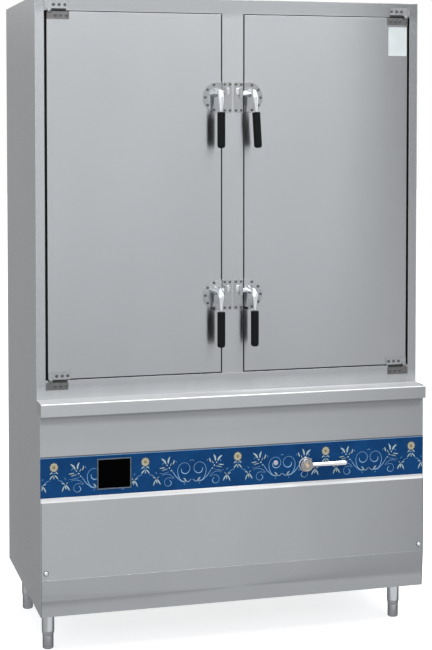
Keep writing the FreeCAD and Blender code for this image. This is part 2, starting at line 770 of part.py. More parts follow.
def legs_and_feet():
    """Tube legs that narrow to a bush in the mouth, and a foot on a stem in each bush."""
    bore = "foot_stem_radius + foot_clearance"
    length = "body_bottom - foot_height - foot_gap"
    leg_profile = [
        (bore, "0"),
        ("foot_radius", "0"),
        ("leg_radius", "leg_taper"),
        ("leg_radius", length),
        ("leg_radius - leg_wall", length),
        ("leg_radius - leg_wall", "bush_length"),
        (bore, "bush_length"),
    ]
    foot_profile = [
        ("0", "0"),
        ("foot_radius - foot_chamfer", "0"),
        ("foot_radius", "foot_chamfer"),
        ("foot_radius", "foot_height"),
        ("foot_stem_radius", "foot_height"),
        ("foot_stem_radius", "foot_height + foot_stem_length"),
        ("0", "foot_height + foot_stem_length"),
    ]
    legs = []
    for end in ("front", "rear"):
        for side in ("left", "right"):
            across, along = side + "_leg", end + "_leg"
            leg = turned("leg_tube", leg_profile)
            legs.append(put(leg, across, along, "foot_height + foot_gap"))
            name = f"{end}_{side}_foot"
            node(name, put(turned(name, foot_profile), across, along))
    node("leg_tubes", group(*legs))


# Steam generator and services, behind the access panel
def induction_coil():
    """Flat coil on its carrier, which stands on a ring foot."""
    foot_out = "carrier_radius - carrier_foot_wall"
    profile = [
        ("foot_in", "0"),
        ("foot_out", "0"),
        ("foot_out", "carrier_foot"),
        ("carrier_radius", "carrier_foot"),
        ("carrier_radius", "carrier_foot + carrier_gauge"),
        ("coil_radius", "carrier_foot + carrier_gauge"),
        ("coil_radius", "carrier_foot + carrier_gauge + coil_gauge"),
        ("coil_inner_radius", "carrier_foot + carrier_gauge + coil_gauge"),
        ("coil_inner_radius", "carrier_foot"),
        ("foot_in", "carrier_foot"),
    ]
    named = {"foot_out": foot_out, "foot_in": f"{foot_out} - carrier_foot_wall"}
    profile = [(named.get(radius, radius), height) for radius, height in profile]
    body = turned("induction_coil", profile)
    node("induction_coil", put(body, "boiler_across", "boiler_along", "floor_top"))


def steam_boiler():
    """Closed drum with a steam outlet in the middle of its lid."""
    inner = "boiler_radius - boiler_wall"
    profile = [
        ("0", "0"),
        ("boiler_radius", "0"),
        ("boiler_radius", "boiler_height"),
        ("riser_radius - riser_wall", "boiler_height"),
        ("riser_radius - riser_wall", "boiler_height - boiler_wall"),
        (inner, "boiler_height - boiler_wall"),
        (inner, "boiler_wall"),
        ("0", "boiler_wall"),
    ]
    body = turned("boiler_drum", profile)
    put(body, "boiler_across", "boiler_along", "coil_top")
    fill = rod("inlet_bore_radius", "boiler_radius", "inlet_across", "boiler_along",
               "inlet_level", "y")
    empty = rod("drain_bore_radius", "boiler_radius", "drain_across", "boiler_along",
                "drain_level", "y")
    node("steam_boiler", cut(body, fill, empty))


def steam_riser():
    length = "chamber_bottom - boiler_top"
    outer = rod("riser_radius", length, "boiler_across", "boiler_along", "boiler_top")
    bore = rod("riser_radius - riser_wall", length, "boiler_across", "boiler_along", "boiler_top")
    node("steam_riser", cut(outer, bore))


def steam_spreader():
    """Perforated disc on three legs over the steam inlet in the chamber floor."""
    body = doc.addObject("PartDesign::Body", "spreader_disc")
    disc = new_sketch(body, "z")
    draw_circle(disc, ("0", "0"), "spreader_radius")
    pad = body.newObject("PartDesign::Pad", "disc")
    pad.Profile = disc
    bind(pad, Length="shelf_gauge")
    hole_sketch = new_sketch(body, "z")
    draw_circle(hole_sketch, ("spreader_hole_circle", "0"), "spreader_hole_radius")
    hole = body.newObject("PartDesign::Pocket", "hole")
    hole.Profile = hole_sketch
    hole.Type = "ThroughAll"
    hole.Midplane = True
    doc.recompute()
    ring = body.newObject("PartDesign::PolarPattern", "holes")
    ring.Originals = [hole]
    ring.Axis = (disc, ["N_Axis"])
    ring.Angle = 360
    bind(ring, Occurrences="spreader_holes")
    body.Tip = ring
    put(body, "boiler_across", "boiler_along", "chamber_bottom + spreader_lift")
    legs = []
    for index in range(int(value("spreader_legs"))):
        turn = f"((spreader_leg_turn + {index} * 360 / spreader_legs) * 1deg)"
        across = f"boiler_across + spreader_leg_circle * cos{turn}"
        along = f"boiler_along + spreader_leg_circle * sin{turn}"
        legs.append(rod("spreader_leg_radius", "spreader_lift", across, along, "chamber_bottom"))
    node("steam_spreader", fuse(body, *legs))


def hex_nut(radius, gauge, across, along, up):
    nut = doc.addObject("Part::Prism", "nut")
    nut.Polygon = 6
    bind(nut, Circumradius=radius, Height=gauge)
    return put(nut, across, along, up, ALONG_Y)


def service_pipe(name, radius, bore, across, up, reach):
    """A pipe from the drum through the back panel, with a nut outside and in."""
    start = "boiler_along"
    length = f"back + ({reach}) - ({start})"
    pipe = rod(radius, length, across, start, up, "y")
    nuts = [
        hex_nut("pipe_nut_radius", "pipe_nut_gauge", across, seat, up)
        for seat in ("back", "back_inner - pipe_nut_gauge")
    ]
    drum = rod("boiler_radius", "boiler_height", "boiler_across", "boiler_along", "coil_top")
    hollow = rod(bore, length, across, start, up, "y")
    node(name, cut(fuse(pipe, *nuts), drum, hollow))


def steam_vent():
    """Vent pipe from the chamber's back wall, with a flange on the back panel."""
    length = "back + service_reach - chamber_back"
    outer = rod("vent_radius", length, "0", "chamber_back", "vent_level", "y")
    flange = rod("vent_flange_radius", "vent_flange_gauge", "0", "back", "vent_level", "y")
    bore = rod("vent_radius - vent_wall", length, "0", "chamber_back", "vent_level", "y")
    node("steam_vent", cut(fuse(outer, flange), bore))


def cable_gland():
    across, up = "gland_offset", "gland_level"
    start = "back_inner - gland_nut_gauge"
    length = "2 * gland_nut_gauge + sheet_gauge + gland_snout"
    barrel = rod("gland_radius", length, across, start, up, "y")
    nuts = [
        hex_nut("gland_nut_radius", "gland_nut_gauge", across, seat, up)
        for seat in ("back", start)
    ]
    bore = rod("gland_bore_radius", length, across, start, up, "y")
    node("cable_gland", cut(fuse(barrel, *nuts), bore))


def inverter_box():
    """Power unit case, open at the back where its fan draws air through."""
    half = "inverter_width / 2"
    across = (f"inverter_offset - {half}", f"inverter_offset + {half}")
    along = ("inverter_front", "inverter_back")
    up = ("floor_top", "floor_top + inverter_height")
    case = slab(across, along, up)
    hollow = [(f"{low} + sheet_gauge", f"{high} - sheet_gauge")
              for low, high in (across, along, up)]
    port = rod("fan_bore_radius", "2 * sheet_gauge", "inverter_offset",
               "inverter_back - 2 * sheet_gauge", "fan_level", "y")
    node("inverter_box", cut(case, slab(*hollow), port))


def cooling_fan():
    """Square fan housing with three struts to the motor boss and its axle, and the rotor."""
    half = "fan_size / 2"
    across, up = "inverter_offset", "fan_level"
    start = "inverter_back"
    frame = slab((f"{across} - {half}", f"{across} + {half}"),
                 (start, f"{start} + fan_depth"), (f"{up} - {half}", f"{up} + {half}"))
    bore = rod("fan_bore_radius", "fan_depth", across, start, up, "y")
    strut_start = f"{start} + fan_depth - fan_strut"
    boss = rod("fan_boss_radius", "fan_strut", across, strut_start, up, "y")
    axle = rod("axle_radius", "axle_length", across, f"{strut_start} - axle_length", up, "y")
    struts = []
    count = int(value("fan_struts"))
    for index in range(count):
        turn = 90 + 360 * index / count
        strut = doc.addObject("Part::Box", "strut")
        bind(strut, Length="(fan_bore_radius + fan_size / 2) / 2", Width="fan_strut",
             Height="fan_strut")
        struts.append(put(strut, across, strut_start, up, Rotation(Vector(0, 1, 0), turn)))
    node("fan_housing", fuse(cut(frame, bore), boss, axle, *struts))
    node("fan_rotor", put(fan_rotor(), across, f"{start} + fan_running_gap", up, ALONG_Y))


def fan_rotor():
    """Hub with pitched, twisted blades that end on a clean circle inside the housing."""
    length = value("fan_depth - fan_strut - 2 * fan_running_gap")
    hub_radius = value("fan_hub_radius")
    sweep_radius = value("fan_bore_radius - fan_tip_gap")
    gauge = value("fan_blade_gauge")
    hub = Part.makeCylinder(hub_radius, length)
    count = int(value("fan_blades"))
    ends = ((hub_radius - gauge, value("root_pitch")), (sweep_radius + gauge, value("tip_pitch")))
    # each section is a thin slat across the axis, set steeper at the hub than at the tip
    sections = []
    for radius, angle in ends:
        slat = Part.makePolygon([
            Vector(radius, -gauge / 2, 0),
            Vector(radius, gauge / 2, 0),
            Vector(radius, gauge / 2, length),
            Vector(radius, -gauge / 2, length),
            Vector(radius, -gauge / 2, 0),
        ])
        slat.rotate(Vector(0, 0, length / 2), Vector(1, 0, 0), angle)
        sections.append(slat)
    blade = Part.makeLoft(sections, True, True)
    blades = []
    for index in range(count):
        turned_blade = blade.copy()
        turned_blade.rotate(Vector(), Vector(0, 0, 1), 360 * index / count)
        blades.append(turned_blade)
    sweep = Part.makeCylinder(sweep_radius, length)
    bore = Part.makeCylinder(value("axle_radius + axle_clearance"),
                             value("axle_length"), Vector(0, 0, length - value("axle_length")))
    rotor = doc.addObject("Part::Feature", "fan_rotor")
    rotor.Shape = hub.fuse(blades).common(sweep).cut(bore)
    return rotor


# Doors, their hinges and latches
def door(side):
    across = mirrored("door_inner", "door_outer", side)
    inside = mirrored("door_inner + sheet_gauge", "door_outer - sheet_gauge", side)
    up = ("door_bottom", "door_top")
    up_inside = ("door_bottom + sheet_gauge", "door_top - sheet_gauge")
    tray = slab(across, ("front", "door_back"), up)
    hollow = slab(inside, ("front + sheet_gauge", "door_back"), up_inside)
    node(side + "_door_skin", cut(tray, hollow))
    plug = mirrored("plug_inner", "plug_outer", side)
    plug_hollow = mirrored("plug_inner + liner_gauge", "plug_outer - liner_gauge", side)
    plug_up = ("plug_bottom", "plug_top")
    plug_up_hollow = ("plug_bottom + liner_gauge", "plug_top - liner_gauge")
    flange_face = "door_back - liner_gauge"
    flange = slab(inside, (flange_face, "door_back"), up_inside)
    pan = slab(plug, (flange_face, "plug_back"), plug_up)
    void = slab(plug_hollow, (flange_face, "plug_back - liner_gauge"), plug_up_hollow)
    node(side + "_door_liner", cut(fuse(flange, pan), void))
    filling = slab(inside, ("front + sheet_gauge", flange_face), up_inside)
    deep_filling = slab(plug_hollow, (flange_face, "plug_back - liner_gauge"), plug_up_hollow)
    node(side + "_door_core", fuse(filling, deep_filling))


def from_edge(low, high, end):
    """A span of heights measured outward from the top or bottom edge of the door opening."""
    if end == "top":
        return (f"opening_top + {low}", f"opening_top + {high}")
    return (f"opening_bottom - ({high})", f"opening_bottom - ({low})")


def hinge_ear(pin_at, up):
    """The round ear of a hinge leaf, with a web back to the leaf's face."""
    gauge = f"({up[1]}) - ({up[0]})"
    disc = rod("ear_radius", gauge, pin_at, "pin_along", up[0])
    web = slab((f"{pin_at} - ear_radius", f"{pin_at} + ear_radius"),
               ("pin_along", "front - leaf_gauge / 2"), up)
    return [disc, web]


def hinges():
    """Corner pivots: a leaf with its pin on the frame, a leaf with a bored ear on the door."""
    brackets = []
    along = ("front - leaf_gauge", "front")
    for side in ("left", "right"):
        pin_at = signed("pin_across", side)
        frame_across = mirrored("stile_inner - frame_leaf_inset - leaf_length",
                                "stile_inner - frame_leaf_inset", side)
        door_across = mirrored("door_outer - leaf_length", "door_outer", side)
        neck_across = (f"{pin_at} - ear_radius", f"{pin_at} + ear_radius")
        leaves = []
        for end in ("top", "bottom"):
            frame_leaf = slab(frame_across, along,
                              from_edge("frame_leaf_lift", "frame_leaf_lift + leaf_height", end))
            neck = slab(neck_across, along, from_edge("0", "frame_leaf_lift", end))
            pin_up = from_edge("-(free_gap + ear_gauge)", "ear_gauge", end)
            pin = rod("pin_radius", f"({pin_up[1]}) - ({pin_up[0]})", pin_at, "pin_along",
                      pin_up[0])
            collar_up = from_edge("-(free_gap - collar_play)", "0", end)
            collar = rod("pin_collar_radius", f"({collar_up[1]}) - ({collar_up[0]})", pin_at,
                         "pin_along", collar_up[0])
            frame_ear = hinge_ear(pin_at, from_edge("0", "ear_gauge", end))
            brackets.append(fuse(frame_leaf, neck, pin, collar, *frame_ear))
            ear_up = from_edge("-(free_gap + ear_gauge)", "-free_gap", end)
            door_leaf = slab(door_across, along,
                             from_edge("-(free_gap + leaf_height)", "-free_gap", end))
            bore = rod("pin_radius + pin_clearance", "ear_gauge", pin_at, "pin_along", ear_up[0])
            leaves.append(cut(fuse(door_leaf, *hinge_ear(pin_at, ear_up)), bore))
        node(side + "_hinge_leaves", group(*leaves))
    node("hinge_brackets", group(*brackets))


def spindle_level(height):
    return f"({height}_flange_level + spindle_rise)"


def latch_flanges(side):
    """Round latch plates with a raised boss, cut straight at the door's free edge."""
    across = signed("flange_across", side)
    plates = []
    for height in ("upper", "lower"):
        level = height + "_flange_level"
        disc = rod("flange_radius", "flange_gauge", across, "flange_face", level, "y")
        boss_face = "flange_face - boss_height"
        boss = rod("boss_radius", "boss_height", across, boss_face, level, "y")
        trim = slab(mirrored("door_inner - flange_radius", "door_inner", side),
                    (boss_face, "front"),
                    (f"{level} - flange_radius", f"{level} + flange_radius"))
        bore = rod("spindle_radius + pin_clearance", f"front - ({boss_face})",
                   signed("spindle_across", side), boss_face, spindle_level(height), "y")
        plates.append(cut(fuse(disc, boss), trim, bore))
    node(side + "_latch_flanges", group(*plates))


def latch_lever(side):
    """The cast lever, about its spindle: hub, horn bent down, tang and nose."""
    outward = Rotation(Vector(1, 0, 0), 90)
    downward = Rotation(Vector(1, 0, 0), 180)
    bend_start = "neck_standoff + neck_bend"
    spindle = rod("spindle_radius", "front - hub_base - hub_clearance", axis="y")
    hub = cone("hub_radius", "neck_radius", "hub_length", turn=outward)
    shank = rod("neck_radius", f"-({bend_start})", "0", bend_start, "0", "y")
    elbow = doc.addObject("Part::Torus", "elbow")
    bind(elbow, Radius1="neck_bend", Radius2="neck_radius")
    elbow.Angle3 = 90
    # the quarter ring turns from straight out of the door to straight down
    put(elbow, "0", bend_start, "-neck_bend",
        Rotation(Vector(0, 0, 1), Vector(0, -1, 0), Vector(1, 0, 0), "XYZ"))
    horn = cone("neck_radius", "neck_tip_radius", "grip_drop - neck_bend", "0",
                "neck_standoff", "-neck_bend", downward)
    tang = cone("neck_tip_radius", "neck_tip_radius", "grip_socket", "0", "neck_standoff",
                "-grip_drop", downward)
    nose_across = ("0", "nose_reach") if side == "left" else ("-nose_reach", "0")
    nose = slab(nose_across, ("-nose_gauge", "0"), ("-nose_height / 2", "nose_height / 2"))
    return fuse(spindle, hub, shank, elbow, horn, tang, nose)


def latch_grip(name):
    """The moulded grip, hanging from its top face, with a socket for the tang."""
    profile = [
        ("neck_tip_radius", "0"),
        ("grip_radius", "0"),
        ("grip_radius", "-grip_length"),
        ("0", "-grip_length"),
        ("0", "-grip_socket"),
        ("neck_tip_radius", "-grip_socket"),
    ]
    grip = turned(name, profile)
    round_rim(grip, "0", "grip_radius", "grip_edge")
    round_rim(grip, "-grip_length", "grip_radius", "grip_round")
    return put(grip, "0", "neck_standoff", "-grip_drop")


def latch(side, height, tilt="0"):
    """One latch handle, its lever and grip turned together about the spindle."""
    name = f"{side}_{height}"
    turn = Rotation(Vector(0, 1, 0), -value(tilt))
    across = signed("spindle_across", side)
    pieces = {"_lever": latch_lever(side), "_grip": latch_grip("grip_body")}
    for ending, piece in pieces.items():
        placed = group(piece)
        node(name + ending, put(placed, across, "hub_base", spindle_level(height), turn))


def latch_strikes():
    """Strike plates on the mullion, each with a keeper block beside the nose's tip."""
    strikes = []
    for side in ("left", "right"):
        high = "mullion_half - strike_inset"
        keeper_high = "spindle_across - nose_reach - keeper_gap"
        for height in ("upper", "lower"):
            level = height + "_flange_level"
            base = slab(mirrored(f"{high} - strike_width", high, side),
                        ("strike_face", "front"),
                        (f"{level} - strike_height / 2", f"{level} + strike_height / 2"))
            middle = spindle_level(height)
            keeper = slab(mirrored(f"{keeper_high} - keeper_width", keeper_high, side),
                          ("strike_face - keeper_depth", "strike_face"),
                          (f"{middle} - keeper_height / 2", f"{middle} + keeper_height / 2"))
            strikes.append(fuse(base, keeper))
    node("latch_strikes", group(*strikes))


for hand in ("left", "right"):
    side_panel(hand)
back_panel()
top_panel()
front_frame()
seat_frame()
door_seals()
chamber_liner()
wall_insulation()
chamber_deck()
tray_rack()
steamer_shelves()
drip_trough()
fascia_panel()
decor_strip()
touch_display()
indicator_lamp()
lever_switch()
power_lever()
access_panel()
skirt_panel()
base_frame()
machine_floor()
legs_and_feet()
induction_coil()
steam_boiler()
steam_riser()
steam_spreader()
service_pipe("water_inlet", "inlet_radius", "inlet_bore_radius", "inlet_across", "inlet_level",
             "service_reach")
service_pipe("drain_pipe", "drain_radius", "drain_bore_radius", "drain_across", "drain_level",
             "stub_reach")
steam_vent()
cable_gland()
inverter_box()
cooling_fan()
for hand in ("left", "right"):
    door(hand)
    latch_flanges(hand)
    latch(hand, "lower")
latch("left", "upper")
latch("right", "upper", "upper_right_tilt")
latch_strikes()
hinges()

doc.recompute()
faults = [thing.Label for thing in doc.Objects
          if "Invalid" in thing.State or "Error" in thing.State]
for name, thing in NODES.items():
    if thing.Shape.isNull() or not thing.Shape.isValid() or not thing.Shape.Solids:
        faults.append(name)
if faults:
    raise RuntimeError("failed: " + ", ".join(sorted(set(faults))))

os.makedirs("parts", exist_ok=True)
for name, thing in NODES.items():
    thing.Shape.exportStep(os.path.join("parts", name + ".step"))
print(len(NODES), "sub-parts written")
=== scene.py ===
import math

import bmesh
import bpy
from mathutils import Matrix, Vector


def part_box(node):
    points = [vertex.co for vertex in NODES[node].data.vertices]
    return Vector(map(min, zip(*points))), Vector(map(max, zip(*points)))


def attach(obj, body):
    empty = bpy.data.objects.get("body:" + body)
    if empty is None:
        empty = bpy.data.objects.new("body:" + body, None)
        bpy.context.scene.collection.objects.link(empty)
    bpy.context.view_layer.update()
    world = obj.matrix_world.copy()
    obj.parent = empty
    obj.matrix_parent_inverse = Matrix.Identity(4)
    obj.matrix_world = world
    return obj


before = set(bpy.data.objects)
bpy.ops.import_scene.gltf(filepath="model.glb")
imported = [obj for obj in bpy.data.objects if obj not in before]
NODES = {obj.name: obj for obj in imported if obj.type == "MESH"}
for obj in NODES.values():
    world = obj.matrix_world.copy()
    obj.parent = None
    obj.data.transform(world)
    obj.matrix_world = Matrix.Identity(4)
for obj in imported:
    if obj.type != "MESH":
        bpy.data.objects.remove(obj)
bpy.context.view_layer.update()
MM = 0.001

# Places on the cabinet, in millimetres
DOOR_FACE = -275
STRIKE_FACE = -277.5
LEAF_FACE = -278
ACCESS_FACE = -341
LATCH_LEVELS = (1656, 1059)
LEVER_X, LEVER_Z = 213.5, 540

# Heights in metres between which the painted light over the ledge fades out, and the painted shade
# on the frame's head starts
PAINTED_SILL_LIGHT = (0.762, 0.805)
PAINTED_HEAD_SHADE = (1.893, 1.915)


# Camera
def place_camera():
    """The camera that was fitted to the edges in the photograph, worked out in its pixels."""
    width, height = 432, 650
    focal_length = 1533.78
    centre_x, centre_y = 217.469, 190
    sensor = 36
    data = bpy.data.cameras.new("camera")
    data.sensor_width = sensor
    data.lens = focal_length / height * sensor
    data.shift_x = (width / 2 - centre_x) / height
    data.shift_y = (centre_y - height / 2) / height
    data.clip_end = 60
    camera = bpy.data.objects.new("camera", data)
    camera.location = (-1.3047, -4.72343, 1.57548)
    camera.rotation_euler = (math.radians(90 - 2.4599), 0, math.radians(-15.7755))
    bpy.context.scene.collection.objects.link(camera)
    bpy.context.scene.camera = camera


# Materials
class Shader:
    """A material's node tree, with short calls to add nodes and links."""

    def __init__(self, name):
        self.material = bpy.data.materials.new(name)
        self.material.use_nodes = True
        self.tree = self.material.node_tree
        self.surface = self.tree.nodes["Principled BSDF"]

    def add(self, kind, **inputs):
        node = self.tree.nodes.new("ShaderNode" + kind)
        for name, value in inputs.items():
            self.feed(node, name, value)
        return node

    def feed(self, node, name, value):
        socket = node.inputs[int(name[1:]) if name[0] == "i" and name[1:].isdigit() else name]
        if isinstance(value, bpy.types.NodeSocket):
            self.tree.links.new(value, socket)
        else:
            socket.default_value = value

    def set(self, **inputs):
        for name, value in inputs.items():
            self.feed(self.surface, name.replace("_", " "), value)

    def noise(self, scale, stretch, detail, rough=0.5):
        place = self.add("TexCoord").outputs["Object"]
        stretched = self.add("Mapping", Vector=place, Scale=stretch).outputs[0]
        field = self.add("TexNoise", Vector=stretched, Scale=scale, Detail=detail,
                         Roughness=rough)
        return field.outputs["Fac"]

    def height(self):
        place = self.add("TexCoord").outputs["Object"]
        return self.add("SeparateXYZ", Vector=place).outputs["Z"]

    def compute(self, operation, first, second=0.5):
        node = self.add("Math", i0=first, i1=second)
        node.operation = operation
        return node.outputs[0]

    def spread(self, value, low, high, start=0.0, end=1.0):
        """The value's range from start to end, mapped to the one from low to high."""
        node = self.add("MapRange", Value=value)
        node.inputs["From Min"].default_value = start
        node.inputs["From Max"].default_value = end
        node.inputs["To Min"].default_value = low
        node.inputs["To Max"].default_value = high
        return node.outputs["Result"]

    def blend(self, factor, first, second):
        """The first colour at a factor of 0, and the second at 1."""
        node = self.tree.nodes.new("ShaderNodeMix")
        node.data_type = "RGBA"
        for index, value in ((0, factor), (6, first), (7, second)):
            if isinstance(value, bpy.types.NodeSocket):
                self.tree.links.new(value, node.inputs[index])
            else:
                node.inputs[index].default_value = value
        return node.outputs[2]

    def bump(self, height, strength, distance=0.001, normal=None):
        node = self.add("Bump", Height=height)
        if normal:
            self.feed(node, "Normal", normal)
        node.inputs["Strength"].default_value = strength
        node.inputs["Distance"].default_value = distance
        self.feed(self.surface, "Normal", node.outputs[0])

    def edge(self, radius):
        """Softened edges: the rounded normal, and a mask of the edges, which the finishes paint
        paler, part wear and part painted highlight.
        """
        soft = self.add("Bevel", Radius=radius)
        soft.samples = 4
        plain = self.add("NewGeometry")
        match = self.add("VectorMath", i0=soft.outputs[0], i1=plain.outputs["Normal"])
        match.operation = "DOT_PRODUCT"
        return soft.outputs[0], self.spread(match.outputs["Value"], 1.0, 0.0, 0.72, 0.98)


def tone(grey, warm=0.0):
    """A grey with a warm cast, or a cool one below 0."""
    return (grey * (1 + warm), grey, grey * (1 - warm), 1)


def brushed(name, grey, rough, grain, warm=-0.03, along="level", smear=1.0, top=0.0, haze_and_painted_light=0.0,
            edge=0.0, outline_shade=0.0):
    """Satin stainless whose brushing runs level on upright sheets and across flat ones.

    The brushing smears reflections across its lines. Faces that look up are painted as pale and
    dull as top says, a painted light, with the folded edge painted as pale as edge, a painted
    highlight. The sill tone paints the steel paler over the ledge, a painted light, with the head of
    the frame painted darker, a painted shade; the outline amount paints a tube darker toward its
    outline, a painted shade.
    """
    shader = Shader(name)
    level, upright, lying = (1.5, 1.5, 420), (420, 420, 1.5), (1.5, 420, 1.5)
    runs_level = along == "level"
    wall_grain = shader.noise(6, level if runs_level else upright, 3, 0.7)
    flat_grain = shader.noise(6, lying, 3, 0.7)
    plain_normal = shader.add("TexCoord").outputs["Normal"]
    facing = shader.add("SeparateXYZ", Vector=plain_normal).outputs["Z"]
    is_flat = shader.compute("GREATER_THAN", shader.compute("ABSOLUTE", facing), 0.7)
    lines = shader.blend(is_flat, wall_grain, flat_grain)
    cloud = shader.noise(4.2, (1, 1, 0.35), 3, 0.55)
    streaks = shader.blend(lines, tone(grey * (1 - grain), warm), tone(grey * (1 + grain), warm))
    cloudy = shader.blend(shader.spread(cloud, 0.0, 0.5, 0.35, 0.65), streaks,
                          tone(grey * 0.93, warm))
    normal, edge_wear_and_highlight = shader.edge(0.0012)
    # Edges painted paler: part real wear, part painted highlight where the edges catch the light.
    colour = shader.blend(edge_wear_and_highlight, cloudy, tone(min(0.9, grey * 1.5), warm))
    metal = 1.0
    if haze_and_painted_light:
        ragged = shader.spread(shader.noise(9, (1, 1, 0.2), 2), -0.012, 0.012)
        ragged_height = shader.compute("ADD", shader.height(), ragged)
        # Painted light: the steel painted paler over the ledge, up to a ragged line.
        colour = shader.blend(shader.spread(ragged_height, 1.0, 0.0, *PAINTED_SILL_LIGHT), colour, tone(haze_and_painted_light, -0.03))
        # Painted shade: the head of the frame painted darker.
        colour = shader.blend(shader.spread(ragged_height, 0.0, 1.0, *PAINTED_HEAD_SHADE), colour,
                              tone(grey * 0.80, warm))
    # Painted light: faces that look up are painted paler, and their folded edge paler still as a
    # painted highlight; the metal share also drops there.
    if top:
        lift = shader.add("SeparateXYZ", Vector=normal).outputs["Z"]
        lit_top_mask = shader.spread(lift, 0.0, 1.0, 0.15, 0.6)
        pale = shader.blend(shader.spread(lift, 1.0, 0.0, 0.90, 0.985), tone(top), tone(edge))
        colour = shader.blend(lit_top_mask, colour, pale)
        metal = shader.spread(lit_top_mask, 1.0, 0.35)
    # Painted shade: a tube is painted darker toward its outline, by the angle at which it is seen.
    if outline_shade:
        turned = shader.add("LayerWeight", Blend=0.5).outputs["Facing"]
        colour = shader.blend(shader.spread(turned, 0.0, outline_shade, 0.20, 0.70), colour,
                              tone(grey * 0.12, warm))
    shader.set(Base_Color=colour, Metallic=metal, Anisotropic=smear,
               Anisotropic_Rotation=0.25 if runs_level else 0.0,
               Roughness=shader.spread(lines, rough * 0.85, rough * 1.15))
    tangent = shader.add("Tangent")
    tangent.direction_type = "RADIAL"
    tangent.axis = "Z"
    shader.feed(shader.surface, "Tangent", tangent.outputs[0])
    shader.bump(lines, 0.04, normal=normal)
    return shader.material


def polished(name, grey, rough, warm=-0.03):
    """Cast or pressed fittings, buffed, with faint hazing and handling marks."""
    shader = Shader(name)
    haze_and_painted_light = shader.noise(38, (1, 1, 1), 4, 0.6)
    scuff = shader.noise(260, (1, 1, 0.4), 2, 0.5)
    colour = shader.blend(haze_and_painted_light, tone(grey * 0.92, warm), tone(grey * 1.05, warm))
    normal, edge_wear_and_highlight = shader.edge(0.0006)
    # Edges painted paler: part real wear, part painted highlight where the edges catch the light.
    colour = shader.blend(edge_wear_and_highlight, colour, tone(min(0.95, grey * 1.5), warm))
    shader.set(Base_Color=colour, Metallic=1.0,
               Roughness=shader.spread(haze_and_painted_light, rough * 0.7, rough * 1.4, 0.3, 0.7))
    shader.bump(scuff, 0.03, 0.0005, normal)
    return shader.material


def hinge_steel():
    """Hinge leaves: the upper leaf of each pair painted bright, a painted light, and the lower one
    painted dark, a painted shade, with a random mottle.
    """
    shader = Shader("hinge_steel")
    height = shader.height()
    top_leaf = shader.spread(height, 0.0, 1.0, 1.9045, 1.9065)
    under_middle = shader.spread(height, 1.0, 0.0, 0.84, 0.90)
    over_gap = shader.spread(height, 0.0, 1.0, 0.8215, 0.8235)
    # Painted light and shade: the upper leaf of each pair is painted bright, and the lower one dark.
    lit_leaf_mask = shader.compute("MAXIMUM", top_leaf, shader.compute("MULTIPLY", under_middle, over_gap))
    leaf_mottle = shader.noise(60, (1, 1, 1), 4, 0.6)
    dull = shader.blend(leaf_mottle, tone(0.14), tone(0.22))
    shader.set(Base_Color=shader.blend(lit_leaf_mask, dull, tone(0.42, -0.03)),
               Metallic=1.0, Roughness=shader.spread(leaf_mottle, 0.20, 0.36, 0.3, 0.7))
    shader.bump(shader.noise(260, (1, 1, 0.4), 2), 0.03, 0.0005)
    return shader.material


def moulded(name, colour, rough, speck, depth, gloss=0.5, coat=0.0):
    """Moulded or painted surface with a fine texture and uneven gloss."""
    shader = Shader(name)
    texture = shader.noise(speck, (1, 1, 1), 3, 0.6)
    cloud = shader.noise(14, (1, 1, 1), 2, 0.5)
    low = tuple(c * 0.82 for c in colour) + (1,)
    high = tuple(min(1, c * 1.18) for c in colour) + (1,)
    shader.set(Base_Color=shader.blend(cloud, low, high), Specular_IOR_Level=gloss,
               Roughness=shader.spread(texture, rough * 0.85, rough * 1.15), Coat_Weight=coat)
    shader.bump(texture, depth, 0.0004)
    return shader.material


def fibrous(name, colour):
    """Pressed mineral wool: matted fibres over soft lumps."""
    shader = Shader(name)
    fibres = shader.noise(90, (1, 1, 3), 6, 0.75)
    lumps = shader.noise(16, (1, 1, 1), 3, 0.5)
    low = tuple(c * 0.6 for c in colour) + (1,)
    shader.set(Base_Color=shader.blend(fibres, low, colour + (1,)), Roughness=0.95,
               Sheen_Weight=0.3)
    shader.bump(shader.compute("ADD", fibres, lumps), 0.6, 0.004)
    return shader.material


def coated_blue():
    """The strip's blue coat under clear lacquer, with a faint mottle."""
    shader = Shader("strip_blue")
    mottle = shader.noise(22, (1, 1, 1), 4, 0.6)
    colour = shader.blend(shader.spread(mottle, 0, 1, 0.3, 0.7), (0.0025, 0.034, 0.115, 1),
                          (0.004, 0.048, 0.155, 1))
    shader.set(Base_Color=colour, Roughness=0.45, Specular_IOR_Level=0.05)
    return shader.material


def dark_glass():
    """The display's glass, dark as it is when off, with faint smears."""
    shader = Shader("display_glass")
    smear = shader.noise(18, (1, 1, 0.5), 3, 0.5)
    shader.set(Base_Color=(0.0006, 0.0005, 0.0006, 1), Specular_IOR_Level=0.01,
               Roughness=shader.spread(smear, 0.16, 0.3))
    return shader.material


def coil_surface():
    """Copper-brown turns between darker brown, drawn as rings about the coil's axis."""
    shader = Shader("coil_windings")
    low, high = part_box("induction_coil")
    middle = (low + high) / 2
    where = shader.add("TexCoord").outputs["Object"]
    moved = shader.add("Mapping", Vector=where, Location=(-middle.x, -middle.y, 0))
    rings = shader.add("TexWave", Vector=moved.outputs[0], Scale=60.0, Distortion=0.2)
    rings.wave_type = "RINGS"
    rings.rings_direction = "Z"
    colour = shader.blend(rings.outputs["Fac"], (0.10, 0.035, 0.015, 1), (0.42, 0.17, 0.07, 1))
    shader.set(Base_Color=colour, Roughness=0.45)
    shader.bump(rings.outputs["Fac"], 0.5, 0.002)
    return shader.material


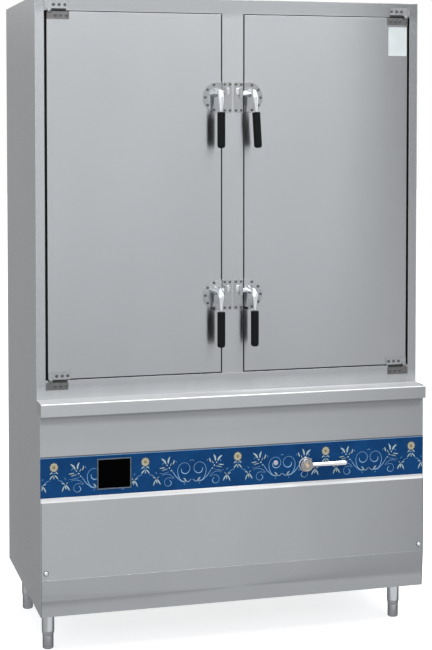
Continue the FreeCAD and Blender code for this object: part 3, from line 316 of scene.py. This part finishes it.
def make_materials():
    """Every finish by its short name, which WEAR and the new pieces use."""
    return {
        "door": brushed("door_steel", 0.44, 0.19, 0.03, warm=-0.035),
        # The frame gets painted light over the ledge and painted shade at its head.
        "frame": brushed("frame_steel", 0.445, 0.20, 0.03, warm=-0.035, haze_and_painted_light=0.70),
        "side": brushed("side_steel", 0.46, 0.28, 0.04, warm=-0.05),
        "roof": brushed("roof_steel", 0.46, 0.36, 0.04, smear=0.0),
        # Painted highlight: the upward faces, the bevel under the blue strip among them, and their
        # edges are painted near white.
        "lower": brushed("lower_steel", 0.40, 0.42, 0.03, warm=-0.035, top=0.99, edge=0.99),
        "skirt": brushed("skirt_steel", 0.415, 0.30, 0.03, warm=-0.035),
        # Painted light: the ledge's top is painted paler, and its folded rim paler still as a
        # painted highlight.
        "ledge": brushed("ledge_steel", 0.42, 0.34, 0.03, warm=-0.035, top=0.50, edge=0.92),
        "inner": brushed("inner_steel", 0.50, 0.30, 0.07),
        "sheet": brushed("plain_sheet", 0.45, 0.34, 0.08),
        # The legs and feet get painted shade toward their outlines.
        "leg": brushed("leg_steel", 0.80, 0.24, 0.12, along="upright", smear=0.4, outline_shade=0.72),
        "foot": brushed("foot_steel", 0.62, 0.30, 0.22, along="upright", smear=0.0, outline_shade=0.7),
        "chrome": polished("chrome", 0.94, 0.14),
        "pad": polished("strike_pad_steel", 0.62, 0.22),
        "fitting": polished("fitting_steel", 0.40, 0.22),
        "leaf_metal": hinge_steel(),
        "plate": polished("latch_plate_steel", 0.38, 0.085),
        "disc": polished("escutcheon_steel", 0.55, 0.16, 0.04),
        "cap": polished("lever_cap_metal", 0.36, 0.30, 0.04),
        "screw": polished("screw_steel", 0.40, 0.25),
        "screw_dark": polished("screw_dark", 0.13, 0.40),
        "brass": polished("brass", 0.60, 0.22, 0.30),
        "grip": moulded("grip_plastic", (0.004, 0.005, 0.006), 0.5, 420, 0.10, gloss=0.10),
        "black": moulded("black_plastic", (0.015, 0.015, 0.016), 0.5, 320, 0.2),
        "gland": moulded("gland_plastic", (0.03, 0.03, 0.032), 0.45, 300, 0.15),
        "rubber": moulded("seal_rubber", (0.02, 0.02, 0.02), 0.75, 200, 0.3),
        "case": brushed("case_aluminium", 0.60, 0.38, 0.04),
        "wool": fibrous("mineral_wool", (0.55, 0.46, 0.25)),
        "blue": coated_blue(),
        "glass": dark_glass(),
        "bezel": polished("bezel_metal", 0.20, 0.3, -0.25),
        "lens": moulded("lamp_lens", (0.40, 0.38, 0.42), 0.18, 120, 0.05, coat=0.5),
        "coil": coil_surface(),
        "scroll": moulded("scroll_paint", (0.20, 0.37, 0.56), 0.5, 200, 0.05),
        "leaf": moulded("leaf_paint", (0.33, 0.45, 0.49), 0.5, 200, 0.05),
        "petal": moulded("petal_paint", (0.42, 0.40, 0.29), 0.5, 200, 0.05),
        "heart": moulded("heart_paint", (0.22, 0.16, 0.05), 0.5, 200, 0.05),
        "shade": moulded("shade_paint", (0.003, 0.022, 0.06), 0.5, 200, 0.05),
        "edge": moulded("seam_line", (0.10, 0.11, 0.12), 0.6, 200, 0.05),
        "label": moulded("blank_label", (0.58, 0.62, 0.62), 0.55, 500, 0.08),
    }


# The finish of each carried-over node
WEAR = {
    "door": ["left_door_skin", "right_door_skin"],
    "frame": ["front_frame"],
    "side": ["left_side_panel", "right_side_panel", "back_panel"],
    "roof": ["top_panel"],
    "lower": ["fascia_panel", "access_panel"],
    "skirt": ["skirt_panel"],
    "ledge": ["drip_trough"],
    "inner": ["seat_frame", "chamber_liner", "tray_rack", "steamer_shelves", "steam_spreader",
              "left_door_liner", "right_door_liner"],
    "sheet": ["chamber_deck", "machine_floor", "base_frame", "steam_boiler", "steam_riser",
              "steam_vent", "drain_pipe"],
    "leg": ["leg_tubes"],
    "foot": ["front_left_foot", "front_right_foot", "rear_left_foot", "rear_right_foot"],
    "chrome": ["left_upper_lever", "left_lower_lever", "right_upper_lever",
               "right_lower_lever", "power_lever"],
    "fitting": ["latch_strikes"],
    "leaf_metal": ["hinge_brackets", "left_hinge_leaves", "right_hinge_leaves"],
    "plate": ["left_latch_flanges", "right_latch_flanges"],
    "disc": ["lever_switch"],
    "grip": ["left_upper_grip", "left_lower_grip", "right_upper_grip", "right_lower_grip"],
    "black": ["fan_housing", "fan_rotor"],
    "gland": ["cable_gland"],
    "rubber": ["door_seals"],
    "case": ["inverter_box"],
    "wool": ["wall_insulation", "left_door_core", "right_door_core"],
    "blue": ["decor_strip"],
    "glass": ["touch_glass"],
    "bezel": ["touch_bezel"],
    "lens": ["indicator_lamp"],
    "coil": ["induction_coil"],
    "brass": ["water_inlet"],
}


def dress_nodes(paints):
    for key, names in WEAR.items():
        for name in names:
            mesh = NODES[name].data
            mesh.materials.clear()
            mesh.materials.append(paints[key])


# New pieces
def piece(name, mesh, paint, body="cabinet", smooth=False):
    thing = bpy.data.objects.new(name, mesh)
    bpy.context.scene.collection.objects.link(thing)
    mesh.materials.append(paint)
    if smooth:
        mesh.shade_smooth()
    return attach(thing, body)


def mesh_of(bm, name):
    bmesh.ops.recalc_face_normals(bm, faces=bm.faces)
    mesh = bpy.data.meshes.new(name)
    bm.to_mesh(mesh)
    bm.free()
    return mesh


def loft(bm, loops):
    """Walls from each loop to the next, and a lid on the last."""
    for first, second in zip(loops, loops[1:]):
        for index in range(len(first)):
            after = (index + 1) % len(first)
            bm.faces.new((first[index], first[after], second[after], second[index]))
    bm.faces.new(loops[-1])


def rounded(low, high, radius):
    """The outline of a rectangle with rounded corners."""
    outline = []
    corners = ((high.x, high.y), (low.x, high.y), (low.x, low.y), (high.x, low.y))
    for index, (x, z) in enumerate(corners):
        centre = Vector((x + (-radius if x == high.x else radius),
                         z + (-radius if z == high.y else radius)))
        for step in range(5):
            angle = math.radians(90 * index + 22.5 * step)
            outline.append(centre + radius * Vector((math.cos(angle), math.sin(angle))))
    return outline


def face_front(mesh):
    """Turn the faces of a flat piece toward the front."""
    for polygon in mesh.polygons:
        if polygon.normal.y > 0:
            polygon.flip()


def add_screw(bm, place, radius, rise, turn):
    """A dome-headed screw with a cross recess, facing the front."""
    around = 32
    profile = ((1.0, 0.0), (1.0, 0.25), (0.93, 0.62), (0.78, 0.86), (0.58, 1.0))
    rings = [[(spread * radius, height * rise)] * around for spread, height in profile]
    slot_reach, corner_reach, slot_half_angle = 0.46, 0.16, 14
    cross = []
    for index in range(around):
        angle = (index / around * 360) % 90
        in_slot = min(angle, 90 - angle) < slot_half_angle
        cross.append(radius * (slot_reach if in_slot else corner_reach))
    rings.append([(reach, rise) for reach in cross])
    rings.append([(reach * 0.85, rise * 0.35) for reach in cross])
    loops = []
    for ring in rings:
        loop = []
        for index, (reach, height) in enumerate(ring):
            angle = turn + index / around * math.tau
            spot = Vector((math.cos(angle) * reach, -height, math.sin(angle) * reach))
            loop.append(bm.verts.new((place + spot) * MM))
        loops.append(loop)
    loft(bm, loops)


def screws(name, places, radius, rise, paint, body):
    bm = bmesh.new()
    for index, place in enumerate(places):
        add_screw(bm, Vector(place), radius, rise, 0.4 + index * 0.9)
    thing = piece(name, mesh_of(bm, name), paint, body, smooth=True)
    thing.modifiers.new("edges", "EDGE_SPLIT").split_angle = math.radians(40)


def add_screws(paints):
    """The screws of the hinges, latch plates and strikes, and those of the access cover."""
    dark = paints["screw_dark"]
    flange_middle, flange_reach = 47.5, 39.5
    for side, sign in (("left", -1), ("right", 1)):
        door = side + "_door"
        places = [(sign * x, LEAF_FACE, z) for z in (1924, 804) for x in (511.5, 528.5, 545)]
        screws(side + "_frame_hinge_screws", places, 4.8, 1.6, dark, "cabinet")
        places = [(sign * x, LEAF_FACE, z) for z in (1893.5, 834.5) for x in (507.5, 524, 540.5)]
        screws(side + "_door_hinge_screws", places, 4.8, 1.6, dark, door)
        places = []
        for level in LATCH_LEVELS:
            for degrees in (108, 144, 180, 216, 252):
                angle = math.radians(degrees)
                across = sign * (flange_middle - flange_reach * math.cos(angle))
                places.append((across, LEAF_FACE, level + flange_reach * math.sin(angle)))
        screws(side + "_latch_screws", places, 4.4, 1.5, dark, door)
        places = [(sign * x, STRIKE_FACE, level + lift) for level in LATCH_LEVELS
                  for lift in (-39, 39) for x in (9.5, 26)]
        screws(side + "_strike_screws", places, 4.0, 1.4, dark, "cabinet")
    washer = 0.8
    places = [(sign * 585, ACCESS_FACE, 268) for sign in (-1, 1)]
    screws("access_washers", places, 8.0, washer, dark, "cabinet")
    places = [(sign * 585, ACCESS_FACE - washer, 268) for sign in (-1, 1)]
    screws("access_screws", places, 6.2, 3.4, paints["chrome"], "cabinet")


def add_block(bm, low, high):
    """A slab whose front edges are chamfered."""
    (x0, y0, z0), (x1, y1, z1) = low, high
    chamfer = 0.5
    loops = []
    for y, inset in ((y1, 0), (y0 + chamfer, 0), (y0, chamfer)):
        corners = ((x0 + inset, z0 + inset), (x1 - inset, z0 + inset), (x1 - inset, z1 - inset),
                   (x0 + inset, z1 - inset))
        loops.append([bm.verts.new(Vector((x, y, z)) * MM) for x, z in corners])
    loft(bm, loops)
    bm.faces.new(loops[0])


def add_hinge_gap_shade(paints):
    """Black strips between the two leaves of each hinge, a painted shade that darkens the gap there.
    """
    bm = bmesh.new()
    front, tall = -277.4, 5.4
    for sign in (-1, 1):
        near, far = sorted((sign * 508, sign * 552))
        for bottom in (1907.2, 815.4):
            add_block(bm, (near, front, bottom), (far, DOOR_FACE, bottom + tall))
    hinge_shade = piece("hinge_gap_shade", mesh_of(bm, "hinge_gap_shade"), paints["rubber"])


def add_seams(paints):
    """The narrow dark joints between the side sheets and the lower front."""
    bm = bmesh.new()
    outer, inner, proud = 598.9, 597.2, 0.15
    front_line = ((-341, 474), (-341, 246), (-333, 136.5))
    for sign in (-1, 1):
        rows = []
        for y, z in front_line:
            rows.append([bm.verts.new(Vector((sign * x, y - proud, z)) * MM)
                         for x in (outer, inner)])
        for first, second in zip(rows, rows[1:]):
            bm.faces.new((first[0], first[1], second[1], second[0]))
    mesh = mesh_of(bm, "side_seams")
    face_front(mesh)
    piece("side_seams", mesh, paints["edge"])


def add_door_edge_shade(paints):
    """A black strip along the free and bottom edges of each door, cut short at the latch plates, a
    painted shade that darkens the gap round the door.
    """
    wide = 1.7
    free_edge, hinge_end, bottom = 35.5, 500, 823.5
    front, back = DOOR_FACE - 0.5, DOOR_FACE - 0.02
    spans = ((bottom + wide, 1011), (1107, 1608), (1704, 1903))
    for name, sign in (("left_door", -1), ("right_door", 1)):
        bm = bmesh.new()
        near, far = sorted((sign * free_edge, sign * (free_edge + wide)))
        for low, high in spans:
            add_block(bm, (near, front, low), (far, back, high))
        near, far = sorted((sign * free_edge, sign * hinge_end))
        add_block(bm, (near, front, bottom), (far, back, bottom + wide))
        door_shade = piece(name + "_edge_shade", mesh_of(bm, name + "_edge_shade"), paints["rubber"], name)


def add_lever_cap(paints):
    """The dished cap in the knob of the power control, with a brass nut in its middle."""
    bm = bmesh.new()
    around = 48
    hub = Vector((LEVER_X, -353.8, LEVER_Z))
    profile = ((18.8, 0.0), (18.8, 0.6), (17.9, 0.9), (16.4, 0.9), (15.8, 0.3), (9.5, 0.3),
               (8.9, 0.7), (7.2, 0.7), (6.6, 0.3))
    loops = []
    for radius, rise in profile:
        loop = []
        for index in range(around):
            angle = index / around * math.tau
            spot = Vector((math.cos(angle) * radius, -rise, math.sin(angle) * radius))
            loop.append(bm.verts.new((hub + spot) * MM))
        loops.append(loop)
    loft(bm, loops)
    cap = piece("lever_cap", mesh_of(bm, "lever_cap"), paints["cap"], "power_bar", smooth=True)
    cap.modifiers.new("edges", "EDGE_SPLIT").split_angle = math.radians(35)
    screws("lever_nut", [(LEVER_X, -354.1, LEVER_Z)], 5.0, 0.8, paints["brass"], "power_bar")


def add_strike_pads(paints):
    """The bright pressed pads on the strike plates, one for each latch."""
    bm = bmesh.new()
    profile = ((0.0, 0.0), (1.6, 0.4), (2.4, 1.6), (2.6, 3.4))
    for sign in (-1, 1):
        for level in LATCH_LEVELS:
            left, right = sorted((sign * 9, sign * 23))
            loops = []
            for rise, inset in profile:
                outline = rounded(Vector((left + inset, level + 6 + inset)),
                                  Vector((right - inset, level + 29 - inset)),
                                  4.4 - inset * 0.6)
                loops.append([bm.verts.new(Vector((spot.x, STRIKE_FACE - rise, spot.y)) * MM)
                              for spot in outline])
            loft(bm, loops)
    mesh = mesh_of(bm, "strike_pads")
    piece("strike_pads", mesh, paints["pad"], smooth=True)


def add_label(paints):
    """A blank label with rounded corners and a raised rim, stuck to the right door."""
    bm = bmesh.new()
    low, high = Vector((503, 1787)), Vector((563.5, 1876))
    middle = (low + high) / 2
    half = high - middle
    outline = rounded(low, high, 2.5)
    loops = []
    for rise, inset in ((0.0, 0), (0.3, 0), (0.4, 0.3), (0.4, 3.5), (0.3, 3.7)):
        loop = []
        for point in outline:
            reach = point - middle
            x = middle.x + reach.x * (1 - inset / half.x)
            z = middle.y + reach.y * (1 - inset / half.y)
            loop.append(bm.verts.new(Vector((x, DOOR_FACE - rise, z)) * MM))
        loops.append(loop)
    loft(bm, loops)
    label = piece("blank_label", mesh_of(bm, "blank_label"), paints["label"], "right_door")


# Ornament of the blue strip
STRIP_TOP = 605
STRIP_FACE = -336.5
FASCIA_FACE = -335
FLOWERS = (-560, -287, -2, 278.5, 560)

# How far each layer of paint stands off the sheet under it
LAYERS = {"shade": 0.10, "scroll": 0.16, "leaf": 0.22, "petal": 0.28, "heart": 0.34, "edge": 0.10}


def smooth_line(points):
    """Points along a smooth curve through the given ones."""
    steps = 10
    padded = [points[0]] + list(points) + [points[-1]]
    line = []
    for index in range(1, len(padded) - 2):
        before, start, end, after = (Vector(p) for p in padded[index - 1:index + 3])
        for step in range(steps):
            t = step / steps
            line.append(0.5 * (2 * start + (end - before) * t
                               + (2 * before - 5 * start + 4 * end - after) * t * t
                               + (3 * start - before - 3 * end + after) * t ** 3))
    line.append(Vector(points[-1]))
    return line


class Ornament:
    """Flat painted shapes on the strip, in (distance from the flower, depth below the top)."""

    def __init__(self):
        self.layers = {layer: bmesh.new() for layer in LAYERS}

    def spot(self, layer, flower, flip, point):
        return Vector((flower + flip * point[0], STRIP_FACE - LAYERS[layer],
                       STRIP_TOP - point[1]))

    def allowed(self, places):
        """Whether a shape stays on the strip and off the display."""
        for place in places:
            off_strip = abs(place.x) > 598
            on_display = -433 < place.x < -329 and 502 < place.z < 596
            if off_strip or on_display:
                return False
        return True

    def fill(self, layer, places):
        if self.allowed(places):
            bm = self.layers[layer]
            bm.faces.new([bm.verts.new(place * MM) for place in places])

    def ribbon(self, layer, flower, flip, points, widths):
        """A line through the points, as wide as widths says from its start to its end."""
        line = smooth_line(points)
        count = len(line)
        rails = []
        for index, point in enumerate(line):
            ahead = line[min(index + 1, count - 1)] - line[max(index - 1, 0)]
            across = Vector((-ahead.y, ahead.x)).normalized()
            place = index / (count - 1) * (len(widths) - 1)
            lower = min(int(place), len(widths) - 2)
            wide = widths[lower] + (widths[lower + 1] - widths[lower]) * (place - lower)
            rails.append((point + across * wide / 2, point - across * wide / 2))
        for (a, b), (c, d) in zip(rails, rails[1:]):
            self.fill(layer, [self.spot(layer, flower, flip, p) for p in (a, b, d, c)])

    def petal(self, layer, flower, flip, base, tip, wide, bend=0.0):
        base, tip = Vector(base), Vector(tip)
        along = tip - base
        across = Vector((-along.y, along.x)).normalized()
        middle = (base + tip) / 2 + across * bend
        self.ribbon(layer, flower, flip, [base, middle, tip],
                    (0.3, wide * 0.8, wide, wide * 0.75, 0.2))

    def leaf(self, flower, flip, base, tip, wide, bend=0.0):
        """A pale leaf with a dark outline."""
        outline, longer = 2.8, 1.3
        spare = (Vector(tip) - Vector(base)).normalized() * longer
        self.petal("shade", flower, flip, Vector(base) - spare, Vector(tip) + spare,
                   wide + outline, bend)
        self.petal("leaf", flower, flip, base, tip, wide, bend)

    def disc(self, layer, flower, flip, centre, radius, squash=1.0, count=16):
        points = []
        for index in range(count):
            angle = index / count * math.tau
            points.append((centre[0] + radius * math.cos(angle),
                           centre[1] + radius * squash * math.sin(angle)))
        self.fill(layer, [self.spot(layer, flower, flip, p) for p in points])

    def flower(self, x):
        """One flower with its leaves, and the scrolls to both sides of it."""
        self.disc("shade", x, 1, (0, 28), 14.2, 1.08, 24)
        for index in range(9):
            angle = math.radians(index * 40 - 90)
            middle = (8.6 * math.cos(angle), 28 + 9.4 * math.sin(angle))
            self.disc("petal", x, 1, middle, 3.3, 1.05, 12)
        for index in range(9):
            angle = math.radians(index * 40 - 70)
            middle = (5.4 * math.cos(angle), 28 + 5.8 * math.sin(angle))
            self.disc("petal", x, 1, middle, 2.0, 1.05, 10)
        self.disc("heart", x, 1, (0, 28), 4.4, 1.1)
        self.petal("leaf", x, 1, (0, 54), (0, 63), 2.4)
        for flip in (-1, 1):
            self.leaf(x, flip, (6, 40), (12.5, 48), 2.6, 1.0)
            self.petal("scroll", x, flip, (0.5, 46), (7, 43), 1.8, 0.8)
            self.leaf(x, flip, (0.8, 51), (12.5, 64), 3.2, -1.4)
            self.half(x, flip)

    def half(self, x, flip):
        """The scrolls, stems and leaves to one side of a flower."""
        big = [(110, 55), (111.5, 65), (121, 70.5), (131.5, 66), (136.5, 55), (132, 43), (120, 37.5),
               (107, 42), (99.5, 54), (99, 68), (104, 83), (113, 93), (124, 96)]
        self.ribbon("scroll", x, flip, big, (1.2, 2.7, 2.0, 1.0, 0.9, 0.9, 1.0, 1.6, 1.9, 1.2))
        small = [(73, 87), (79, 94), (76, 102), (67, 104.5), (59.5, 98.5), (59, 88), (66, 80.5),
                 (77, 80), (86, 84)]
        self.ribbon("scroll", x, flip, small, (1.2, 2.1, 1.1, 0.9, 0.8, 0.9, 0.5))
        stem = [(82, 60), (87, 68), (94, 78), (103, 87), (112, 94)]
        self.ribbon("scroll", x, flip, stem, (0.9, 1.6, 1.8, 1.2))
        self.ribbon("scroll", x, flip, [(50, 73), (58, 69), (68, 69), (78, 73), (88, 82)],
                    (0.5, 1.0, 0.8))
        self.ribbon("scroll", x, flip, [(44, 65), (52, 67), (62, 64), (74, 62)], (0.4, 0.9, 0.5))
        self.ribbon("scroll", x, flip, [(11, 67), (18, 68), (25, 72), (31, 79)], (0.5, 1.1, 0.8))
        self.ribbon("leaf", x, flip, [(112, 93.5), (122, 92), (131, 95), (137, 90), (140, 88.5)],
                    (1.0, 1.6, 1.2, 1.0))
        for centre, radius in (((66, 42), 2.0), ((73, 50.5), 2.2), ((79, 58.5), 2.0)):
            self.disc("leaf", x, flip, centre, radius)
        for base, tip, wide, bend in (
            ((63, 38.5), (48.5, 21), 5.0, 2.4), ((69.5, 38), (75, 17), 4.6, -1.8),
            ((84, 41), (88, 27), 3.2, 0.5), ((60, 47.5), (43, 50), 2.8, -0.8),
            ((68, 53), (50, 58), 1.8, 1.0), ((75, 45), (80, 36), 1.8, 0.5),
            ((125, 92), (116, 83), 3.0, 0.8), ((34, 81), (46, 99), 3.6, -1.2),
            ((34, 83), (36, 95), 2.8, 0.5), ((33, 82), (24, 101), 3.2, 1.2),
            ((32, 80), (22, 76), 2.2, 1.0), ((36, 79), (41, 73), 1.6, 0.8),
        ):
            self.leaf(x, flip, base, tip, wide, bend)
        for base, tip in (((120, 104), (118, 99)), ((136, 33), (141, 29)), ((31, 60), (36, 66)),
                          ((56, 33), (52, 40)), ((92, 30), (96, 35))):
            self.petal("scroll", x, flip, base, tip, 1.2, 0.4)

    def lines(self):
        """The dark seam above the strip, and the thin pale line along its top edge."""
        for layer, low, high in (("edge", -3.6, -0.2), ("scroll", 0.0, 1.3)):
            bm = self.layers[layer]
            corners = [(-599.5, low), (599.5, low), (599.5, high), (-599.5, high)]
            face = STRIP_FACE if layer == "scroll" else FASCIA_FACE
            places = [Vector((x, face - 0.12, STRIP_TOP - z)) for x, z in corners]
            bm.faces.new([bm.verts.new(place * MM) for place in places])


def add_ornament(paints):
    work = Ornament()
    for middle in FLOWERS:
        work.flower(middle)
    work.lines()
    for layer, bm in work.layers.items():
        bmesh.ops.remove_doubles(bm, verts=bm.verts, dist=1e-7)
        mesh = mesh_of(bm, "strip_" + layer)
        face_front(mesh)
        piece("strip_" + layer, mesh, paints[layer])


# Studio
def seen_directly(tree):
    """1 for what a camera, mirror or glass ray meets, and 0 for the light that falls on things."""
    path = tree.nodes.new("ShaderNodeLightPath")
    seen = path.outputs["Is Camera Ray"]
    for ray in ("Is Glossy Ray", "Is Transmission Ray"):
        either = tree.nodes.new("ShaderNodeMath")
        either.operation = "MAXIMUM"
        tree.links.new(seen, either.inputs[0])
        tree.links.new(path.outputs[ray], either.inputs[1])
        seen = either.outputs[0]
    return seen


def add_floor():
    """A pale floor that shows white where it is looked at, and keeps the cabinet's shadow."""
    bm = bmesh.new()
    bmesh.ops.create_grid(bm, x_segments=1, y_segments=1, size=30)
    floor = bpy.data.objects.new("floor", mesh_of(bm, "floor"))
    bpy.context.scene.collection.objects.link(floor)
    shader = Shader("floor")
    glow = shader.compute("MULTIPLY", seen_directly(shader.tree), 0.70)
    shader.set(Base_Color=(0.8, 0.8, 0.8, 1), Roughness=0.9, Emission_Color=(1, 1, 1, 1),
               Emission_Strength=glow)
    floor.data.materials.append(shader.material)


def add_world():
    """Faint cool light from all around, behind a background that looks white."""
    world = bpy.data.worlds.new("studio")
    bpy.context.scene.world = world
    world.use_nodes = True
    tree = world.node_tree
    plain = tree.nodes["Background"]
    plain.inputs["Color"].default_value = (0.9, 0.95, 1.0, 1)
    plain.inputs["Strength"].default_value = 0.65
    white = tree.nodes.new("ShaderNodeBackground")
    white.inputs["Color"].default_value = (1, 1, 1, 1)
    mix = tree.nodes.new("ShaderNodeMixShader")
    tree.links.new(seen_directly(tree), mix.inputs[0])
    tree.links.new(plain.outputs[0], mix.inputs[1])
    tree.links.new(white.outputs[0], mix.inputs[2])
    tree.links.new(mix.outputs[0], tree.nodes["World Output"].inputs["Surface"])


def put(thing, place, target):
    """Place a lamp or card so that it faces its target."""
    thing.location = place
    thing.rotation_euler = (Vector(target) - Vector(place)).to_track_quat("-Z", "Y").to_euler()
    bpy.context.scene.collection.objects.link(thing)


def add_lamp(name, place, target, width, height, power):
    data = bpy.data.lights.new(name, "AREA")
    data.shape = "RECTANGLE"
    data.size = width
    data.size_y = height
    data.energy = power
    put(bpy.data.objects.new(name, data), place, target)


def add_flag(name, place, target, width, height, colour):
    """A grey card outside the picture that glows evenly in place of a lit one, which only the metal
    mirrors.
    """
    bm = bmesh.new()
    bmesh.ops.create_grid(bm, x_segments=1, y_segments=1, size=0.5)
    flag = bpy.data.objects.new(name, mesh_of(bm, name))
    flag.scale = (width, height, 1)
    put(flag, place, target)
    shader = Shader(name)
    shader.set(Base_Color=(0, 0, 0, 1), Roughness=1.0, Specular_IOR_Level=0.0,
               Emission_Color=colour + (1,), Emission_Strength=1.0)
    flag.data.materials.append(shader.material)
    flag.visible_camera = False
    flag.visible_shadow = False
    flag.visible_diffuse = False


def add_studio():
    add_floor()
    add_world()
    add_lamp("key", (-3.1, -4.4, 2.2), (0, 0, 1.1), 5.0, 3.8, 44)
    add_lamp("high_bank", (2.4, -8.0, 4.5), (0.2, 0, 0.5), 7.5, 1.2, 60)
    add_lamp("top_bank", (1.9, -7.0, 9.4), (0.1, -0.4, 0.9), 7.0, 3.0, 320)
    add_lamp("over_bank", (0.0, -1.0, 4.6), (0, -0.5, 0.8), 3.6, 1.0, 86)
    add_flag("right_flag", (4.0, -5.2, 2.65), (0, 0, 2.65), 3.0, 3.3, (0.44, 0.44, 0.44))
    add_flag("low_right_flag", (4.0, -5.2, 0.5), (0, 0, 0.5), 3.0, 1.0, (0.76, 0.76, 0.76))
    add_flag("front_floor_flag", (0.6, -5.0, 0.002), (0.6, -5.0, 3), 18.0, 9.4, (0.70, 0.70, 0.71))
    add_flag("side_floor_flag", (-3.62, 3.6, 0.01), (-3.62, 3.6, 3), 6.0, 8.6, (0.42, 0.42, 0.42))
    add_flag("right_floor_flag", (2.62, 1.9, 0.01), (2.62, 1.9, 3), 4.0, 4.4, (0.26, 0.26, 0.27))
    add_flag("under_flag", (0, 0, 0.0015), (0, 0, 3), 1.3, 0.7, (0.30, 0.30, 0.31))
    add_flag("back_left_flag", (-2.9, 5.0, 0.65), (-0.6, 0, 0.65), 6.0, 3.8, (0.42, 0.42, 0.42))
    add_flag("back_right_flag", (4.2, 3.4, 0.9), (0.6, 0, 0.9), 6.0, 4.0, (0.26, 0.26, 0.26))
    add_flag("ceiling_flag", (0.6, -1.5, 5.5), (0.2, -0.4, 0.6), 5.0, 2.4, (0.13, 0.09, 0.07))
    bpy.context.scene.view_settings.view_transform = "Standard"


place_camera()
paints = make_materials()
dress_nodes(paints)
add_screws(paints)
add_lever_cap(paints)
add_door_edge_shade(paints)
add_strike_pads(paints)
add_hinge_gap_shade(paints)
add_seams(paints)
add_label(paints)
add_ornament(paints)
add_studio()
